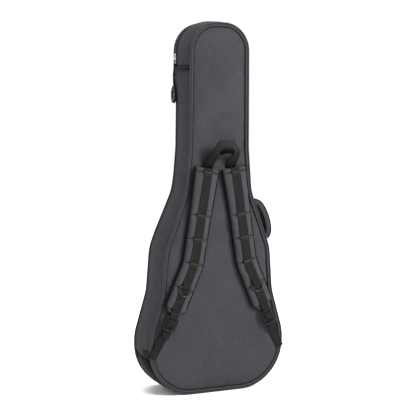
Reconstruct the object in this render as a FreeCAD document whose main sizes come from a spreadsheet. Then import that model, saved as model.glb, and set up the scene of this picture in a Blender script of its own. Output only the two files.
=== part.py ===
"""Padded gig bag for a full-size acoustic guitar, as a parametric FreeCAD document.

Frame, in millimetres: +Z up, origin on the floor under the middle of the bag. The back, which
carries the shoulder straps, faces -Y. The front lid and its pocket face +Y.
"""
import FreeCAD, Part
import math
import os
from FreeCAD import Placement, Rotation, Vector

doc = FreeCAD.newDocument("padded_gig_bag")

# Beyond the bag on every side, in millimetres, for cuts that run right through.
FAR = 500
ABOVE = 1200
# The seam between the zip side and the hinge side of the gusset lies to the right of this line.
HINGE_SPLIT = -60

# ---------------------------------------------------------------- driving dimensions
DIMENSIONS = {
    # outline of the bag, seen from the back: half widths and heights
    "bag_height": 1080,
    "lower_bout_half": 215,
    "lower_bout_height": 170,
    "waist_half": 178,
    "waist_height": 296,
    "upper_bout_half": 168,
    "upper_bout_height": 425,
    "shoulder_half": 105,
    "shoulder_height": 594,
    "neck_half": 95,
    "neck_height": 720,
    "headstock_half": 92,
    "bottom_radius": 138,
    "top_radius": 80,
    "soft_radius": 150,
    # front of the bag, seen from the side
    "back_face": 55,
    "front_body": 60,
    "front_neck": 36,
    "front_headstock": 57,
    "front_bend_low": 470,
    "front_bend_high": 640,
    "front_rise_low": 850,
    "front_rise_high": 940,
    # layers of the padded wall
    "skin": 2,
    "foam": 10,
    "lining": 1.2,
    "binding_proud": 2,
    "binding_cover": 8,
    "binding_rise": 3,
    "lid_rim": 15.8,
    "lid_gap": 0.4,
    "boot_skin": 2.5,
    "boot_top": 125,
    # main zip
    "tape_skin": 1,
    "tape_width": 6,
    "coil_skin": 2.4,
    "coil_width": 2.4,
    "zip_end": 955,
    "seam_patch": 10,
    # front pocket
    "pocket_inset": 20,
    "pocket_top": 430,
    "pocket_depth": 30,
    "pocket_skin": 2.5,
    "pocket_cover": 6,
    "pocket_gap": 0.4,
    # shoulder straps
    "yoke_height": 665,
    "yoke_band": 12,
    "strap_top_x": 44,
    "strap_drop": 10,
    "strap_bend_x": 86,
    "strap_bend_z": 388,
    "strap_end_x": 148,
    "strap_end_z": 244,
    "strap_width": 72,
    "strap_foam": 15,
    "strap_clear": 8,
    "strap_binding": 4,
    "webbing_width": 28,
    "webbing": 2,
    "lower_webbing_width": 25,
    "anchor_x": 207,
    "anchor_z": 134,
    "anchor_reach": 32,
    "lock_size": 40,
    "lock_thick": 6,
    "ring_width": 38,
    "ring_height": 26,
    "ring_wire": 4,
    # handles
    "grab_half": 56,
    "grab_rise": 90,
    "grab_leg": 36,
    "grab_webbing": 4,
    "grab_lean": 35,
    "side_handle_z": 497,
    "side_handle_length": 136,
    "side_handle_reach": 48,
    "side_handle_width": 44,
    "side_handle_pad": 24,
    "side_handle_start": 13,
    "side_handle_core": 3,
    "side_handle_core_width": 38,
    # slider, pull and cord puller
    "slider_z": 983,
    "slider_length": 20,
    "slider_width": 9,
    "slider_thick": 5,
    "pull_length": 20,
    "cord": 3,
    "cord_top_z": 956,
    "cord_bottom_z": 899,
    "grip_height": 50,
    "grip_width": 26,
    # inside
    "cradle_z": 700,
    "cradle_height": 60,
    "cradle_top": 6,
    "cradle_half": 62,
    "cradle_groove": 30,
    "bumper_height": 26,
    "bumper_half": 70,
    "running_gap": 0.4,
}

sheet = doc.addObject("Spreadsheet::Sheet", "dims")
for row, (alias, value) in enumerate(DIMENSIONS.items(), start=1):
    sheet.set(f"A{row}", alias.replace("_", " "))
    sheet.set(f"B{row}", str(value))
    sheet.setAlias(f"B{row}", alias)
doc.recompute()


def dim(alias):
    """The present value of one driving dimension."""
    return float(sheet.get(alias))


# ---------------------------------------------------------------- plane geometry
def rounded(corners):
    """Closed chain of lines and tangent arcs through (x, y, radius) corners."""
    count = len(corners)
    starts, ends, middles = [], [], []
    for i, (x, y, radius) in enumerate(corners):
        here = Vector(x, y, 0)
        before = Vector(*corners[i - 1][:2], 0) - here
        after = Vector(*corners[(i + 1) % count][:2], 0) - here
        before.normalize()
        after.normalize()
        half = before.getAngle(after) / 2
        if radius <= 0 or abs(half - math.pi / 2) < 1e-6:
            starts.append(here)
            ends.append(here)
            middles.append(None)
            continue
        reach = radius / math.tan(half)
        bisector = (before + after).normalize()
        starts.append(here + before * reach)
        ends.append(here + after * reach)
        middles.append(here + bisector * (radius / math.sin(half) - radius))
    edges = []
    for i in range(count):
        if middles[i] is not None:
            edges.append(Part.Arc(starts[i], middles[i], ends[i]))
        following = starts[(i + 1) % count]
        if (following - ends[i]).Length > 1e-6:
            edges.append(Part.LineSegment(ends[i], following))
    return edges


def grown(corners, distance):
    """The same rounded outline, moved outward (positive) or inward, for anticlockwise corners."""
    count = len(corners)
    result = []
    for i, (x, y, radius) in enumerate(corners):
        here = Vector(x, y, 0)
        into = here - Vector(*corners[i - 1][:2], 0)
        out = Vector(*corners[(i + 1) % count][:2], 0) - here
        into.normalize()
        out.normalize()
        normal_in = Vector(into.y, -into.x, 0)
        normal_out = Vector(out.y, -out.x, 0)
        turn = into.x * out.y - into.y * out.x
        bisector = normal_in + normal_out
        moved = here + bisector * (distance / (1 + normal_in.dot(normal_out)))
        side = 1 if turn > 0 else -1
        result.append((moved.x, moved.y, max(radius + side * distance, 0)))
    return result


def bag_outline(distance=0):
    """Outline of the bag seen from the back, anticlockwise, grown by a distance."""
    base = dim("boot_skin")
    soft = dim("soft_radius")
    right = [
        (dim("lower_bout_half"), base, dim("bottom_radius")),
        (dim("lower_bout_half"), dim("lower_bout_height"), soft),
        (dim("waist_half"), dim("waist_height"), soft),
        (dim("upper_bout_half"), dim("upper_bout_height"), soft),
        (dim("shoulder_half"), dim("shoulder_height"), soft),
        (dim("neck_half"), dim("neck_height"), soft),
        (dim("headstock_half"), dim("bag_height"), dim("top_radius")),
    ]
    left = [(-x, z, radius) for x, z, radius in reversed(right)]
    return grown(right + left, distance)


def half_width(height):
    """Half width of the bag on the straight stretch that holds this height."""
    stretches = [
        ("upper_bout_half", "upper_bout_height", "shoulder_half", "shoulder_height"),
        ("neck_half", "neck_height", "headstock_half", "bag_height"),
    ]
    for low_x, low_z, high_x, high_z in stretches:
        share = (height - dim(low_z)) / (dim(high_z) - dim(low_z))
        if 0 <= share <= 1:
            return dim(low_x) + share * (dim(high_x) - dim(low_x))
    raise ValueError(height)


def front_corners(shift):
    """Front of the bag seen from the side, from floor to top, as (y, z, radius)."""
    soft = dim("soft_radius")
    beyond = 50
    return [
        (dim("front_body") + shift, -beyond, 0),
        (dim("front_body") + shift, dim("front_bend_low"), soft),
        (dim("front_neck") + shift, dim("front_bend_high"), soft),
        (dim("front_neck") + shift, dim("front_rise_low"), soft),
        (dim("front_headstock") + shift, dim("front_rise_high"), soft),
        (dim("front_headstock") + shift, dim("bag_height") + beyond, 0),
    ]


def band(points, half, end_radius, bend_radius):
    """Corners of a flat band of one width that follows three points."""
    first, bend, last = [Vector(x, z, 0) for x, z in points]
    along_a = (bend - first).normalize()
    along_b = (last - bend).normalize()
    side_a = Vector(-along_a.y, along_a.x, 0)
    side_b = Vector(-along_b.y, along_b.x, 0)
    mitre = (side_a + side_b) * (half / (1 + side_a.dot(side_b)))
    turn = along_a.x * along_b.y - along_a.y * along_b.x
    inner = bend_radius - half if turn > 0 else bend_radius + half
    outer = bend_radius + half if turn > 0 else bend_radius - half
    ring = [
        (first - side_a * half, 0),
        (bend - mitre, outer),
        (last - side_b * half, end_radius),
        (last + side_b * half, end_radius),
        (bend + mitre, inner),
        (first + side_a * half, 0),
    ]
    return [(point.x, point.y, radius) for point, radius in ring]


def rectangle(x_low, y_low, x_high, y_high, radius=0):
    """Corners of a rectangle, anticlockwise."""
    return [
        (x_low, y_low, radius),
        (x_high, y_low, radius),
        (x_high, y_high, radius),
        (x_low, y_high, radius),
    ]


# ---------------------------------------------------------------- PartDesign helpers
SUBPARTS = []


def new_body(name, place=None):
    """An empty PartDesign body whose label is the sub-part's name."""
    body = doc.addObject("PartDesign::Body", name)
    body.Label = name
    body.Placement = place or Placement()
    SUBPARTS.append(body)
    return body


def new_sketch(body, role, outlines, offset=0.0):
    """A sketch on one of the body's own origin planes, from rounded outlines."""
    name = f"{body.Name}_sketch_{len(body.Group)}"
    sketch = body.newObject("Sketcher::SketchObject", name)
    plane = [f for f in body.Origin.OriginFeatures if f.Role == role][0]
    sketch.AttachmentSupport = [(plane, "")]
    sketch.MapMode = "FlatFace"
    sketch.AttachmentOffset = Placement(Vector(0, 0, offset), Rotation())
    for outline in outlines:
        edges = rounded(outline) if isinstance(outline[0], tuple) else outline
        sketch.addGeometry(edges, False)
    return sketch


def circle(x, y, radius):
    """A full circle as sketch geometry."""
    return [Part.Circle(Vector(x, y, 0), Vector(0, 0, 1), radius)]


def pad(body, sketch, length, both_ways=False):
    """Pad a sketch; length is a number or an expression over the dimension sheet."""
    feature = body.newObject("PartDesign::Pad", f"{body.Name}_pad_{len(body.Group)}")
    feature.Profile = sketch
    feature.Midplane = both_ways
    if isinstance(length, str):
        feature.setExpression("Length", length)
    else:
        feature.Length = length
    doc.recompute()
    return feature


def pocket(body, sketch, length=None, both_ways=True, reverse=False):
    """Cut a sketch away, through everything unless a length is given."""
    before = body.Shape.Volume
    feature = body.newObject("PartDesign::Pocket", f"{body.Name}_cut_{len(body.Group)}")
    feature.Profile = sketch
    feature.Midplane = both_ways
    feature.Reversed = reverse
    if length is None:
        feature.Type = "ThroughAll"
    elif isinstance(length, str):
        feature.setExpression("Length", length)
    else:
        feature.Length = length
    doc.recompute()
    if body.Shape.Volume >= before:
        raise RuntimeError(f"{feature.Name} cuts nothing")
    return feature


def keep_side(body, profile_shift, front):
    """Cut away what lies in front of (or behind) the bag's front line, moved by a shift."""
    line = front_corners(profile_shift)
    far = FAR if front else -FAR
    corners = line + [(far, line[-1][1], 0), (far, line[0][1], 0)]
    pocket(body, new_sketch(body, "YZ_Plane", [corners]))


def cut_box(body, x_low, z_low, x_high, z_high):
    """Cut a rectangle, seen from the back, right through the body."""
    pocket(body, new_sketch(body, "XZ_Plane", [rectangle(x_low, z_low, x_high, z_high)]))


def slab(name, outlines, y_back, y_front=None, front_shift=None, back_shift=None):
    """A piece of the bag's wall: outlines seen from the back, padded along Y and trimmed.

    It starts at y_back, or back_shift from the front line, and ends at y_front, or front_shift
    from the front line.
    """
    body = new_body(name)
    spare = 5
    low = y_back if back_shift is None else dim("front_neck") + back_shift - spare
    high = y_front if front_shift is None else dim("front_body") + front_shift + spare
    # The back plane's normal is -Y, so the sketch starts at the front end of the pad.
    sketch = new_sketch(body, "XZ_Plane", outlines, offset=-high)
    pad(body, sketch, high - low)
    if front_shift is not None:
        keep_side(body, front_shift, front=True)
    if back_shift is not None:
        keep_side(body, back_shift, front=False)
    return body


# ---------------------------------------------------------------- the shell: back and gusset
back = -dim("back_face")
skin = dim("skin")
wall = skin + dim("foam")
lined = wall + dim("lining")
cover = dim("binding_cover")
proud = dim("binding_proud")
yoke = dim("yoke_height")
rim = -dim("lid_rim") - dim("lid_gap")
foam_back = back + skin
lining_back = foam_back + dim("foam")
inside_back = lining_back + dim("lining")

lower_panel = slab("back_panel_lower", [bag_outline(-cover)], back, foam_back)
cut_box(lower_panel, -FAR, yoke, FAR, ABOVE)
upper_panel = slab("back_panel_upper", [bag_outline(-cover)], back, foam_back)
cut_box(upper_panel, -FAR, -FAR, FAR, yoke)

yoke_piece = slab("back_yoke_band", [bag_outline(-cover)], back - skin, back)
cut_box(yoke_piece, -FAR, -FAR, FAR, yoke - dim("yoke_band") / 2)
cut_box(yoke_piece, -FAR, yoke + dim("yoke_band") / 2, FAR, ABOVE)

slab("back_binding", [bag_outline(proud), bag_outline(-cover)], back - dim("binding_rise"), foam_back)
slab("back_foam", [bag_outline(-skin)], foam_back, lining_back)
slab("back_lining", [bag_outline(-wall)], lining_back, inside_back)

hinge_low = dim("boot_top")
zip_end = dim("zip_end")
zip_side = slab("gusset_zip_side", [bag_outline(0), bag_outline(-skin)], foam_back, front_shift=rim)
cut_box(zip_side, -FAR, hinge_low, HINGE_SPLIT, zip_end)
hinge_side = slab("gusset_hinge_side", [bag_outline(0), bag_outline(-skin)], foam_back, front_shift=rim)
cut_box(hinge_side, HINGE_SPLIT, -FAR, FAR, ABOVE)
cut_box(hinge_side, -FAR, -FAR, 0, hinge_low)
cut_box(hinge_side, -FAR, zip_end, 0, ABOVE)
slab("gusset_foam", [bag_outline(-skin), bag_outline(-wall)], lining_back, front_shift=rim)
slab("gusset_lining", [bag_outline(-wall), bag_outline(-lined)], inside_back, front_shift=rim)

tape = dim("tape_skin")
coil = dim("coil_skin")
tape_back = rim - dim("tape_width")
patch_back = foam_back + 4
patch_front = tape_back - 1
patch = slab("gusset_seam_patch", [bag_outline(tape), bag_outline(0)], patch_back,
             front_shift=patch_front)
cut_box(patch, HINGE_SPLIT, -FAR, FAR, ABOVE)
cut_box(patch, -FAR, -FAR, 0, zip_end - dim("seam_patch"))
cut_box(patch, -FAR, zip_end, 0, ABOVE)

boot_skin = dim("boot_skin")
boot_front = tape_back - dim("running_gap")
boot = slab("bottom_boot", [bag_outline(boot_skin), bag_outline(0)], foam_back, front_shift=boot_front)
cut_box(boot, -FAR, dim("boot_top"), FAR, ABOVE)


def zip_strip(name, outer, inner, from_shift, to_shift):
    """One half of the main zip, which leaves the hinge side of the bag plain."""
    strip = slab(name, [bag_outline(outer), bag_outline(inner)], None,
                 back_shift=from_shift, front_shift=to_shift)
    cut_box(strip, -FAR, hinge_low, HINGE_SPLIT, zip_end)
    return strip


lid_back = -dim("lid_rim")
zip_strip("zip_tape_shell", tape, 0, tape_back, rim)
zip_strip("zip_coil_shell", coil, tape, rim - dim("coil_width"), rim)
zip_strip("zip_tape_lid", tape, 0, lid_back, lid_back + dim("tape_width"))
zip_strip("zip_coil_lid", coil, tape, lid_back, lid_back + dim("coil_width"))

# ---------------------------------------------------------------- the lid
slab("front_panel", [bag_outline(-cover)], None, back_shift=-skin, front_shift=0)
slab("front_binding", [bag_outline(proud), bag_outline(-cover)], None,
     back_shift=-skin, front_shift=dim("binding_rise"))
slab("lid_gusset", [bag_outline(0), bag_outline(-skin)], None, back_shift=lid_back, front_shift=-skin)
slab("front_foam", [bag_outline(-skin)], None, back_shift=-wall, front_shift=-skin)
slab("front_lining", [bag_outline(-skin)], None, back_shift=-lined, front_shift=-wall)

# ---------------------------------------------------------------- front pocket
inset = dim("pocket_inset")
pocket_skin = dim("pocket_skin")
pocket_top = dim("pocket_top")
pocket_back = dim("front_body")
pocket_front = pocket_back + dim("pocket_depth")
cover_back = pocket_front + dim("pocket_gap")


def pocket_outline(distance):
    """The bag's outline, inset and closed by a straight top edge."""
    corner_radius = 18
    ring = bag_outline(distance - inset)
    top = pocket_top + distance
    low_x, low_z, _ = ring[2]
    high_x, high_z, _ = ring[3]
    x = low_x + (high_x - low_x) * (top - low_z) / (high_z - low_z)
    right = ring[:3] + [(x, top, corner_radius + distance)]
    left = [(-px, pz, pr) for px, pz, pr in reversed(right)]
    return right + left


pocket_tape_width = 8
pocket_tape_drop = 60
pocket_edge = 5
pocket_edge_proud = 2
pocket_edge_rise = 1.5
slab("pocket_gusset", [pocket_outline(0), pocket_outline(-pocket_skin)], pocket_back, pocket_front)
pocket_tape = slab("pocket_zip_tape", [pocket_outline(tape), pocket_outline(0)],
                   pocket_front - pocket_tape_width, pocket_front)
cut_box(pocket_tape, -FAR, -FAR, FAR, pocket_top - pocket_tape_drop)
slab("pocket_front", [pocket_outline(-pocket_edge)], cover_back, cover_back + dim("pocket_cover"))
slab("pocket_binding", [pocket_outline(pocket_edge_proud), pocket_outline(-pocket_edge)], cover_back,
     cover_back + dim("pocket_cover") + pocket_edge_rise)

slider_gap = dim("running_gap")
pocket_slider_x = -95
pocket_slider_y = pocket_front + 0.2
pocket_slider_z = pocket_top + coil
pocket_slider_height = 4
slider_plan = rectangle(-9, -5, 9, 5, 2)
pocket_slider_place = Placement(Vector(pocket_slider_x, pocket_slider_y, pocket_slider_z), Rotation())
pocket_slider = new_body("pocket_zip_slider", pocket_slider_place)
pad(pocket_slider, new_sketch(pocket_slider, "XY_Plane", [slider_plan]), pocket_slider_height)
pocket_pull_z = pocket_slider_z + pocket_slider_height + slider_gap
pocket_pull_plan = rectangle(-0.9, -4, 28, 4, 0.8)
pocket_pull_hole = circle(22, 0, 2.2)
pocket_pull_thick = 2
pocket_pull_place = Placement(Vector(pocket_slider_x, pocket_slider_y, pocket_pull_z), Rotation())
pull = new_body("pocket_zip_pull", pocket_pull_place)
pad(pull, new_sketch(pull, "XY_Plane", [pocket_pull_plan, pocket_pull_hole]), pocket_pull_thick)

# ---------------------------------------------------------------- shoulder straps
strap_back = back - dim("strap_clear")
strap_front = strap_back - dim("strap_foam")
webbing = dim("webbing")
strap_line = [
    (dim("strap_top_x"), yoke - dim("strap_drop")),
    (dim("strap_bend_x"), dim("strap_bend_z")),
    (dim("strap_end_x"), dim("strap_end_z")),
]
lower_run = Vector(dim("strap_end_x") - dim("strap_bend_x"), 0, dim("strap_end_z") - dim("strap_bend_z"))
lower_run.normalize()
lower_turn = math.degrees(math.atan2(lower_run.x, -lower_run.z))
lock_below_pad = 26
ring_below_bend = 72
lock_back = strap_front + 3
soft_bend = dim("soft_radius")
lock_centre = Vector(dim("strap_end_x"), 0, dim("strap_end_z")) + lower_run * lock_below_pad
ring_centre = Vector(dim("strap_bend_x"), 0, dim("strap_bend_z")) + lower_run * ring_below_bend


def mirrored_line(points, side):
    """Points of the right-hand strap, or the same on the left."""
    return [(side * x, z) for x, z in points]


def flat_piece(name, corners, y_outer, thickness):
    """A flat piece seen from the back, from y_outer towards the bag by its thickness."""
    body = new_body(name)
    pad(body, new_sketch(body, "XZ_Plane", [corners], offset=-y_outer - thickness), thickness)
    return body


def facing(side, centre, y):
    """Placement of hardware on a strap: local -Z runs down the strap's lower stretch."""
    turn = -side * lower_turn
    return Placement(Vector(side * centre.x, y, centre.z), Rotation(Vector(0, 1, 0), turn))


def shoulder_strap(side, word):
    """One shoulder strap with its webbing, ring, ladder lock and lower webbing."""
    line = mirrored_line(strap_line, side)
    half = dim("strap_width") / 2
    edge = dim("strap_binding")
    width = dim("webbing_width") / 2
    pad_radius = 26
    trim_radius = 30
    pad_plan = band(line, half - edge, pad_radius, soft_bend)
    flat_piece(f"strap_pad_{word}", pad_plan, strap_front, dim("strap_foam"))
    trim = new_body(f"strap_binding_{word}")
    trim_depth = 6
    trim_back = (strap_back + strap_front) / 2 + trim_depth / 2
    outer = band(line, half, trim_radius, soft_bend)
    inner = band(line, half - edge, pad_radius, soft_bend)
    for i in (2, 3):
        outer_x = outer[i][0] + side * lower_run.x * edge
        outer_z = outer[i][1] + lower_run.z * edge
        outer[i] = (outer_x, outer_z, trim_radius)
    open_top = 20
    upward = (Vector(*line[0], 0) - Vector(*line[1], 0)).normalize() * open_top
    for i in (0, 5):
        inner[i] = (inner[i][0] + upward.x, inner[i][1] + upward.y, 0)
    sketch = new_sketch(trim, "XZ_Plane", [outer], offset=-trim_back)
    pad(trim, sketch, trim_depth)
    pocket(trim, new_sketch(trim, "XZ_Plane", [inner]))
    webbing_short = 8
    webbing_end = (line[2][0] - side * lower_run.x * webbing_short, line[2][1] - lower_run.z * webbing_short)
    webbing_plan = band([line[0], line[1], webbing_end], width, 0, soft_bend)
    flat_piece(f"strap_webbing_{word}", webbing_plan, strap_front - webbing, webbing)
    ladder_lock(side, word)
    strap_ring(side, word)
    lower_webbing(side, word)


def ladder_lock(side, word):
    """Moulded ladder lock: a plate with two slots, hung in a webbing loop at the pad's end."""
    half = dim("lock_size") / 2
    body = new_body(f"ladder_lock_{word}", facing(side, lock_centre, lock_back))
    frame_outline = rectangle(-half, -half, half, half, 7)
    rail = 5
    slots = [rectangle(-half + rail, 4, half - rail, 11, 2), rectangle(-half + rail, -12, half - rail, -5, 2)]
    pad(body, new_sketch(body, "XZ_Plane", [frame_outline] + slots), "dims.lock_thick")
    tail_gap = 0.2
    tail_length = 50
    tail_thick = 1.8
    tail_front = lock_back - dim("lock_thick") - tail_gap
    tail = new_body(f"strap_tail_{word}", facing(side, lock_centre, tail_front))
    tail_half = dim("lower_webbing_width") / 2
    tail_plan = rectangle(-tail_half, -tail_length, tail_half, 0, 2)
    pad(tail, new_sketch(tail, "XZ_Plane", [tail_plan]), tail_thick)


def strap_ring(side, word):
    """D-ring lying on the strap webbing, its straight bar held in a sewn webbing tab."""
    wire = dim("ring_wire")
    half = dim("ring_width") / 2
    drop = dim("ring_height")
    bar_room = wire * math.sqrt(0.5) + slider_gap
    y_tab = strap_front - webbing
    body = new_body(f"strap_ring_{word}", facing(side, ring_centre, y_tab - bar_room + wire / 2))
    outer = [(-half, wire / 2, 2), (-half, -drop + wire / 2, 14),
             (half, -drop + wire / 2, 14), (half, wire / 2, 2)]
    inner = [(-half + wire, -wire / 2, 1), (-half + wire, -drop + 1.5 * wire, 10),
             (half - wire, -drop + 1.5 * wire, 10), (half - wire, -wire / 2, 1)]
    pad(body, new_sketch(body, "XZ_Plane", [outer, inner]), "dims.ring_wire")
    tab = new_body(f"ring_tab_{word}", facing(side, ring_centre, y_tab))
    width = dim("webbing_width") / 2 - 1.5
    height = 2 * bar_room + webbing
    sewn = 16
    pad(tab, new_sketch(tab, "XZ_Plane", [rectangle(-width, -bar_room - webbing, width, sewn)]), height)
    pocket(tab, new_sketch(tab, "YZ_Plane", [rectangle(-2 * bar_room, -bar_room, 0, bar_room)]))


def lower_webbing(side, word):
    """Flat webbing from behind the ladder lock down to the seam at the lower bout."""
    start = Vector(side * lock_centre.x, 0, lock_centre.z)
    end = Vector(side * dim("anchor_x"), 0, dim("anchor_z"))
    along = (end - start).normalize()
    across = Vector(-along.z, 0, along.x) * (dim("lower_webbing_width") / 2)
    y_top = lock_back + slider_gap
    thick = dim("webbing")
    y_low = back - dim("binding_rise") - thick - slider_gap
    length = (end - start).Length
    slope = Vector(end.x - start.x, y_low - y_top, end.z - start.z).normalize()
    normal = slope.cross(across).normalize()
    if normal.y > 0:
        normal = normal * -1
    base = Vector(start.x, y_top, start.z)
    far = base + slope * math.hypot(length, y_low - y_top)
    face = Part.makePolygon([base + across, base - across, far - across, far + across, base + across])
    piece = doc.addObject("Part::Feature", f"lower_webbing_{word}")
    piece.Shape = Part.Face(face).extrude(normal * -thick)
    piece.Placement = Placement()
    piece.Label = piece.Name
    SUBPARTS.append(piece)
    anchor = slab(f"strap_anchor_{word}", [bag_outline(dim("webbing")), bag_outline(0)],
                  foam_back, foam_back + dim("anchor_reach"))
    half = dim("lower_webbing_width") / 2
    raised = 4
    cut_box(anchor, -FAR, -FAR, FAR, end.z - half + raised)
    cut_box(anchor, -FAR, end.z + half, FAR, ABOVE)
    cut_box(anchor, min(0, -side * FAR), -FAR, max(0, -side * FAR), ABOVE)


shoulder_strap(1, "right")
shoulder_strap(-1, "left")

# ---------------------------------------------------------------- grab handle on the yoke seam
grab_place = Placement(Vector(0, back - skin - 1, yoke + 2), Rotation(Vector(1, 0, 0), dim("grab_lean")))
grab = new_body("grab_handle", grab_place)
grab_half = dim("grab_half")
grab_inner = grab_half - dim("grab_leg")
grab_rise = dim("grab_rise")
window_rise = grab_rise - 26
arch = [(-grab_half, 0, 0), (grab_half, 0, 0), (grab_half, grab_rise, 38), (-grab_half, grab_rise, 38)]
window = [(-grab_inner, -1, 0), (grab_inner, -1, 0), (grab_inner, window_rise, 14),
          (-grab_inner, window_rise, 14)]
pad(grab, new_sketch(grab, "XZ_Plane", [arch]), "dims.grab_webbing")
pocket(grab, new_sketch(grab, "XZ_Plane", [window]))

# ---------------------------------------------------------------- padded side handle
side_z = dim("side_handle_z")
side_tilt = math.degrees(math.atan2(dim("upper_bout_half") - dim("shoulder_half"),
                                    dim("shoulder_height") - dim("upper_bout_height")))
side_place = Placement(Vector(half_width(side_z), 0, side_z), Rotation(Vector(0, 1, 0), -side_tilt))
long_half = dim("side_handle_length") / 2
reach = dim("side_handle_reach")
pad_thick = dim("side_handle_pad")
pad_start = dim("side_handle_start")
core_thick = dim("side_handle_core")


def half_moon(inset, start):
    """Half-moon open towards the bag, inset from the handle's outer line."""
    half = long_half - inset
    top = reach - inset
    radius = top - pad_start - 1
    return [(start, -half, 0), (top, -half, radius), (top, half, radius), (start, half, 0)]


side_pad = new_body("side_handle_pad", side_place)
pad_outer = half_moon(0, pad_start)
pad_room = half_moon(pad_thick - core_thick, pad_start - 1)
pad(side_pad, new_sketch(side_pad, "XZ_Plane", [pad_outer]), "dims.side_handle_width", both_ways=True)
pocket(side_pad, new_sketch(side_pad, "XZ_Plane", [pad_room]))
side_core = new_body("side_handle_webbing", side_place)
core_outer = half_moon(pad_thick - core_thick, pad_start)
core_room = half_moon(pad_thick, pad_start - 1)
pad(side_core, new_sketch(side_core, "XZ_Plane", [core_outer]), "dims.side_handle_core_width", both_ways=True)
pocket(side_core, new_sketch(side_core, "XZ_Plane", [core_room]))
side_tabs = new_body("side_handle_tabs", side_place)
tab_half = 22
tab_low = long_half - pad_thick
tab_high = long_half + 4
tab_thick = 2.5
tab_plan = rectangle(-tab_half, -tab_high, tab_half, tab_high, 4)
pad(side_tabs, new_sketch(side_tabs, "YZ_Plane", [tab_plan]), tab_thick)
pocket(side_tabs, new_sketch(side_tabs, "YZ_Plane", [rectangle(-FAR, -tab_low, FAR, tab_low)]))

# ---------------------------------------------------------------- main slider, pull, cord puller
slider_z = dim("slider_z")
slider_y = dim("front_headstock") - dim("lid_rim") - dim("lid_gap") / 2
slider_face = -half_width(slider_z) - coil - slider_gap
lean = math.degrees(math.atan2(dim("neck_half") - dim("headstock_half"),
                               dim("bag_height") - dim("neck_height")))
slider_place = Placement(Vector(slider_face, slider_y, slider_z), Rotation(Vector(0, 1, 0), lean))
slider_half = dim("slider_length") / 2
slider_wide = dim("slider_width") / 2
thick = dim("slider_thick")
slider = new_body("main_zip_slider", slider_place)
nose = slider_wide - 1.5
slider_plan = [(-nose, -slider_half, 1), (nose, -slider_half, 1), (slider_wide, slider_half, 2),
               (-slider_wide, slider_half, 2)]
pad(slider, new_sketch(slider, "YZ_Plane", [slider_plan], offset=-thick), "dims.slider_thick")
eye_room = rectangle(-thick + 1, -1.6, -1, 1.6, 1.2)
pocket(slider, new_sketch(slider, "XZ_Plane", [eye_room]))

pull_x = slider_face - thick / 2
main_pull = new_body("main_zip_pull", Placement(Vector(pull_x, slider_y, slider_z), Rotation()))
bail_outer = slider_wide + 3
bail_inner = slider_wide + 0.8
bail_thick = 1.8
bail_foot = 4
pull_length = dim("pull_length")
pull_plan = [(-bail_outer, -pull_length, 3), (bail_outer, -pull_length, 3), (bail_outer, 1, 1),
             (-bail_outer, 1, 1)]
pull_room = [(-bail_inner, -pull_length + bail_foot, 2), (bail_inner, -pull_length + bail_foot, 2),
             (bail_inner, -0.8, 0.3), (-bail_inner, -0.8, 0.3)]
pad(main_pull, new_sketch(main_pull, "YZ_Plane", [pull_plan, pull_room]), bail_thick, both_ways=True)

cord = dim("cord")
cord_top = dim("cord_top_z")
cord_bottom = dim("cord_bottom_z")
cord_in_front = 1.5
cord_x = pull_x - cord_in_front


def cord_strand(name, y_shift, bow):
    """One strand of the puller cord: straight runs joined by tangent arcs."""
    drop = cord_top - cord_bottom
    # Share of the drop, of the bow and of the sideways shift at each point down the strand.
    points_down = [(0, 0, 0.8), (0.3, 0.7, 1), (0.66, 1, 1.15), (1, 0.4, 0.8)]
    route = []
    for down, bowed, shifted in points_down:
        route.append(Vector(cord_x - bow * bowed, slider_y + y_shift * shifted, cord_top - drop * down))
    arc_share = 0.45
    edges = []
    start = route[0]
    for before, corner, after in zip(route, route[1:], route[2:]):
        into = before - corner
        out = after - corner
        arc_reach = arc_share * min(into.Length, out.Length)
        into.normalize()
        out.normalize()
        half_turn = (math.pi - into.getAngle(out)) / 2
        radius = arc_reach / math.tan(half_turn)
        first = corner + into * arc_reach
        second = corner + out * arc_reach
        centre_way = (into + out).normalize()
        middle = corner + centre_way * (radius / math.cos(half_turn) - radius)
        edges.append(Part.LineSegment(start, first).toShape())
        edges.append(Part.Arc(first, middle, second).toShape())
        start = second
    edges.append(Part.LineSegment(start, route[-1]).toShape())
    path = Part.Wire(edges)
    along = (route[1] - route[0]).normalize()
    section = Part.Wire([Part.Circle(route[0], along, cord / 2).toShape()])
    piece = doc.addObject("Part::Feature", name)
    piece.Shape = path.makePipeShell([section], True, False)
    piece.Placement = Placement()
    piece.Label = name
    SUBPARTS.append(piece)
    print(name, "length", round(path.Length, 1))


strand_shift = 2.2
front_bow = 3.0
back_bow = 1.4
cord_strand("puller_cord_front", strand_shift, front_bow)
cord_strand("puller_cord_back", -strand_shift, back_bow)

knot = new_body("puller_knot", Placement(Vector(cord_x, slider_y, cord_top), Rotation()))
knot_width = 9
knot_plan = rectangle(-3.2, 0, 3.2, 6.4, 2.4)
pad(knot, new_sketch(knot, "XZ_Plane", [knot_plan]), knot_width, both_ways=True)

grip_x = cord_x - 2
grip = new_body("puller_grip", Placement(Vector(grip_x, slider_y, cord_bottom), Rotation()))
grip_half = dim("grip_width") / 2
grip_height = dim("grip_height")
grip_thick = 7
grip_end = 5
grip_slope = 14
grip_plan = [
    (-grip_end, 0, 2), (-grip_half, -grip_slope, 3), (-grip_half, -grip_height + grip_slope, 3),
    (-grip_end, -grip_height, 2), (grip_end, -grip_height, 2),
    (grip_half, -grip_height + grip_slope, 3), (grip_half, -grip_slope, 3), (grip_end, 0, 2),
]
grip_hole = [
    (-4, -15, 2), (-6.5, -22, 2), (-6.5, -29, 2), (-3, -34, 2), (3, -34, 2), (6.5, -29, 2),
    (6.5, -22, 2), (4, -15, 2),
]
pad(grip, new_sketch(grip, "YZ_Plane", [grip_plan, grip_hole]), grip_thick, both_ways=True)

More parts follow.
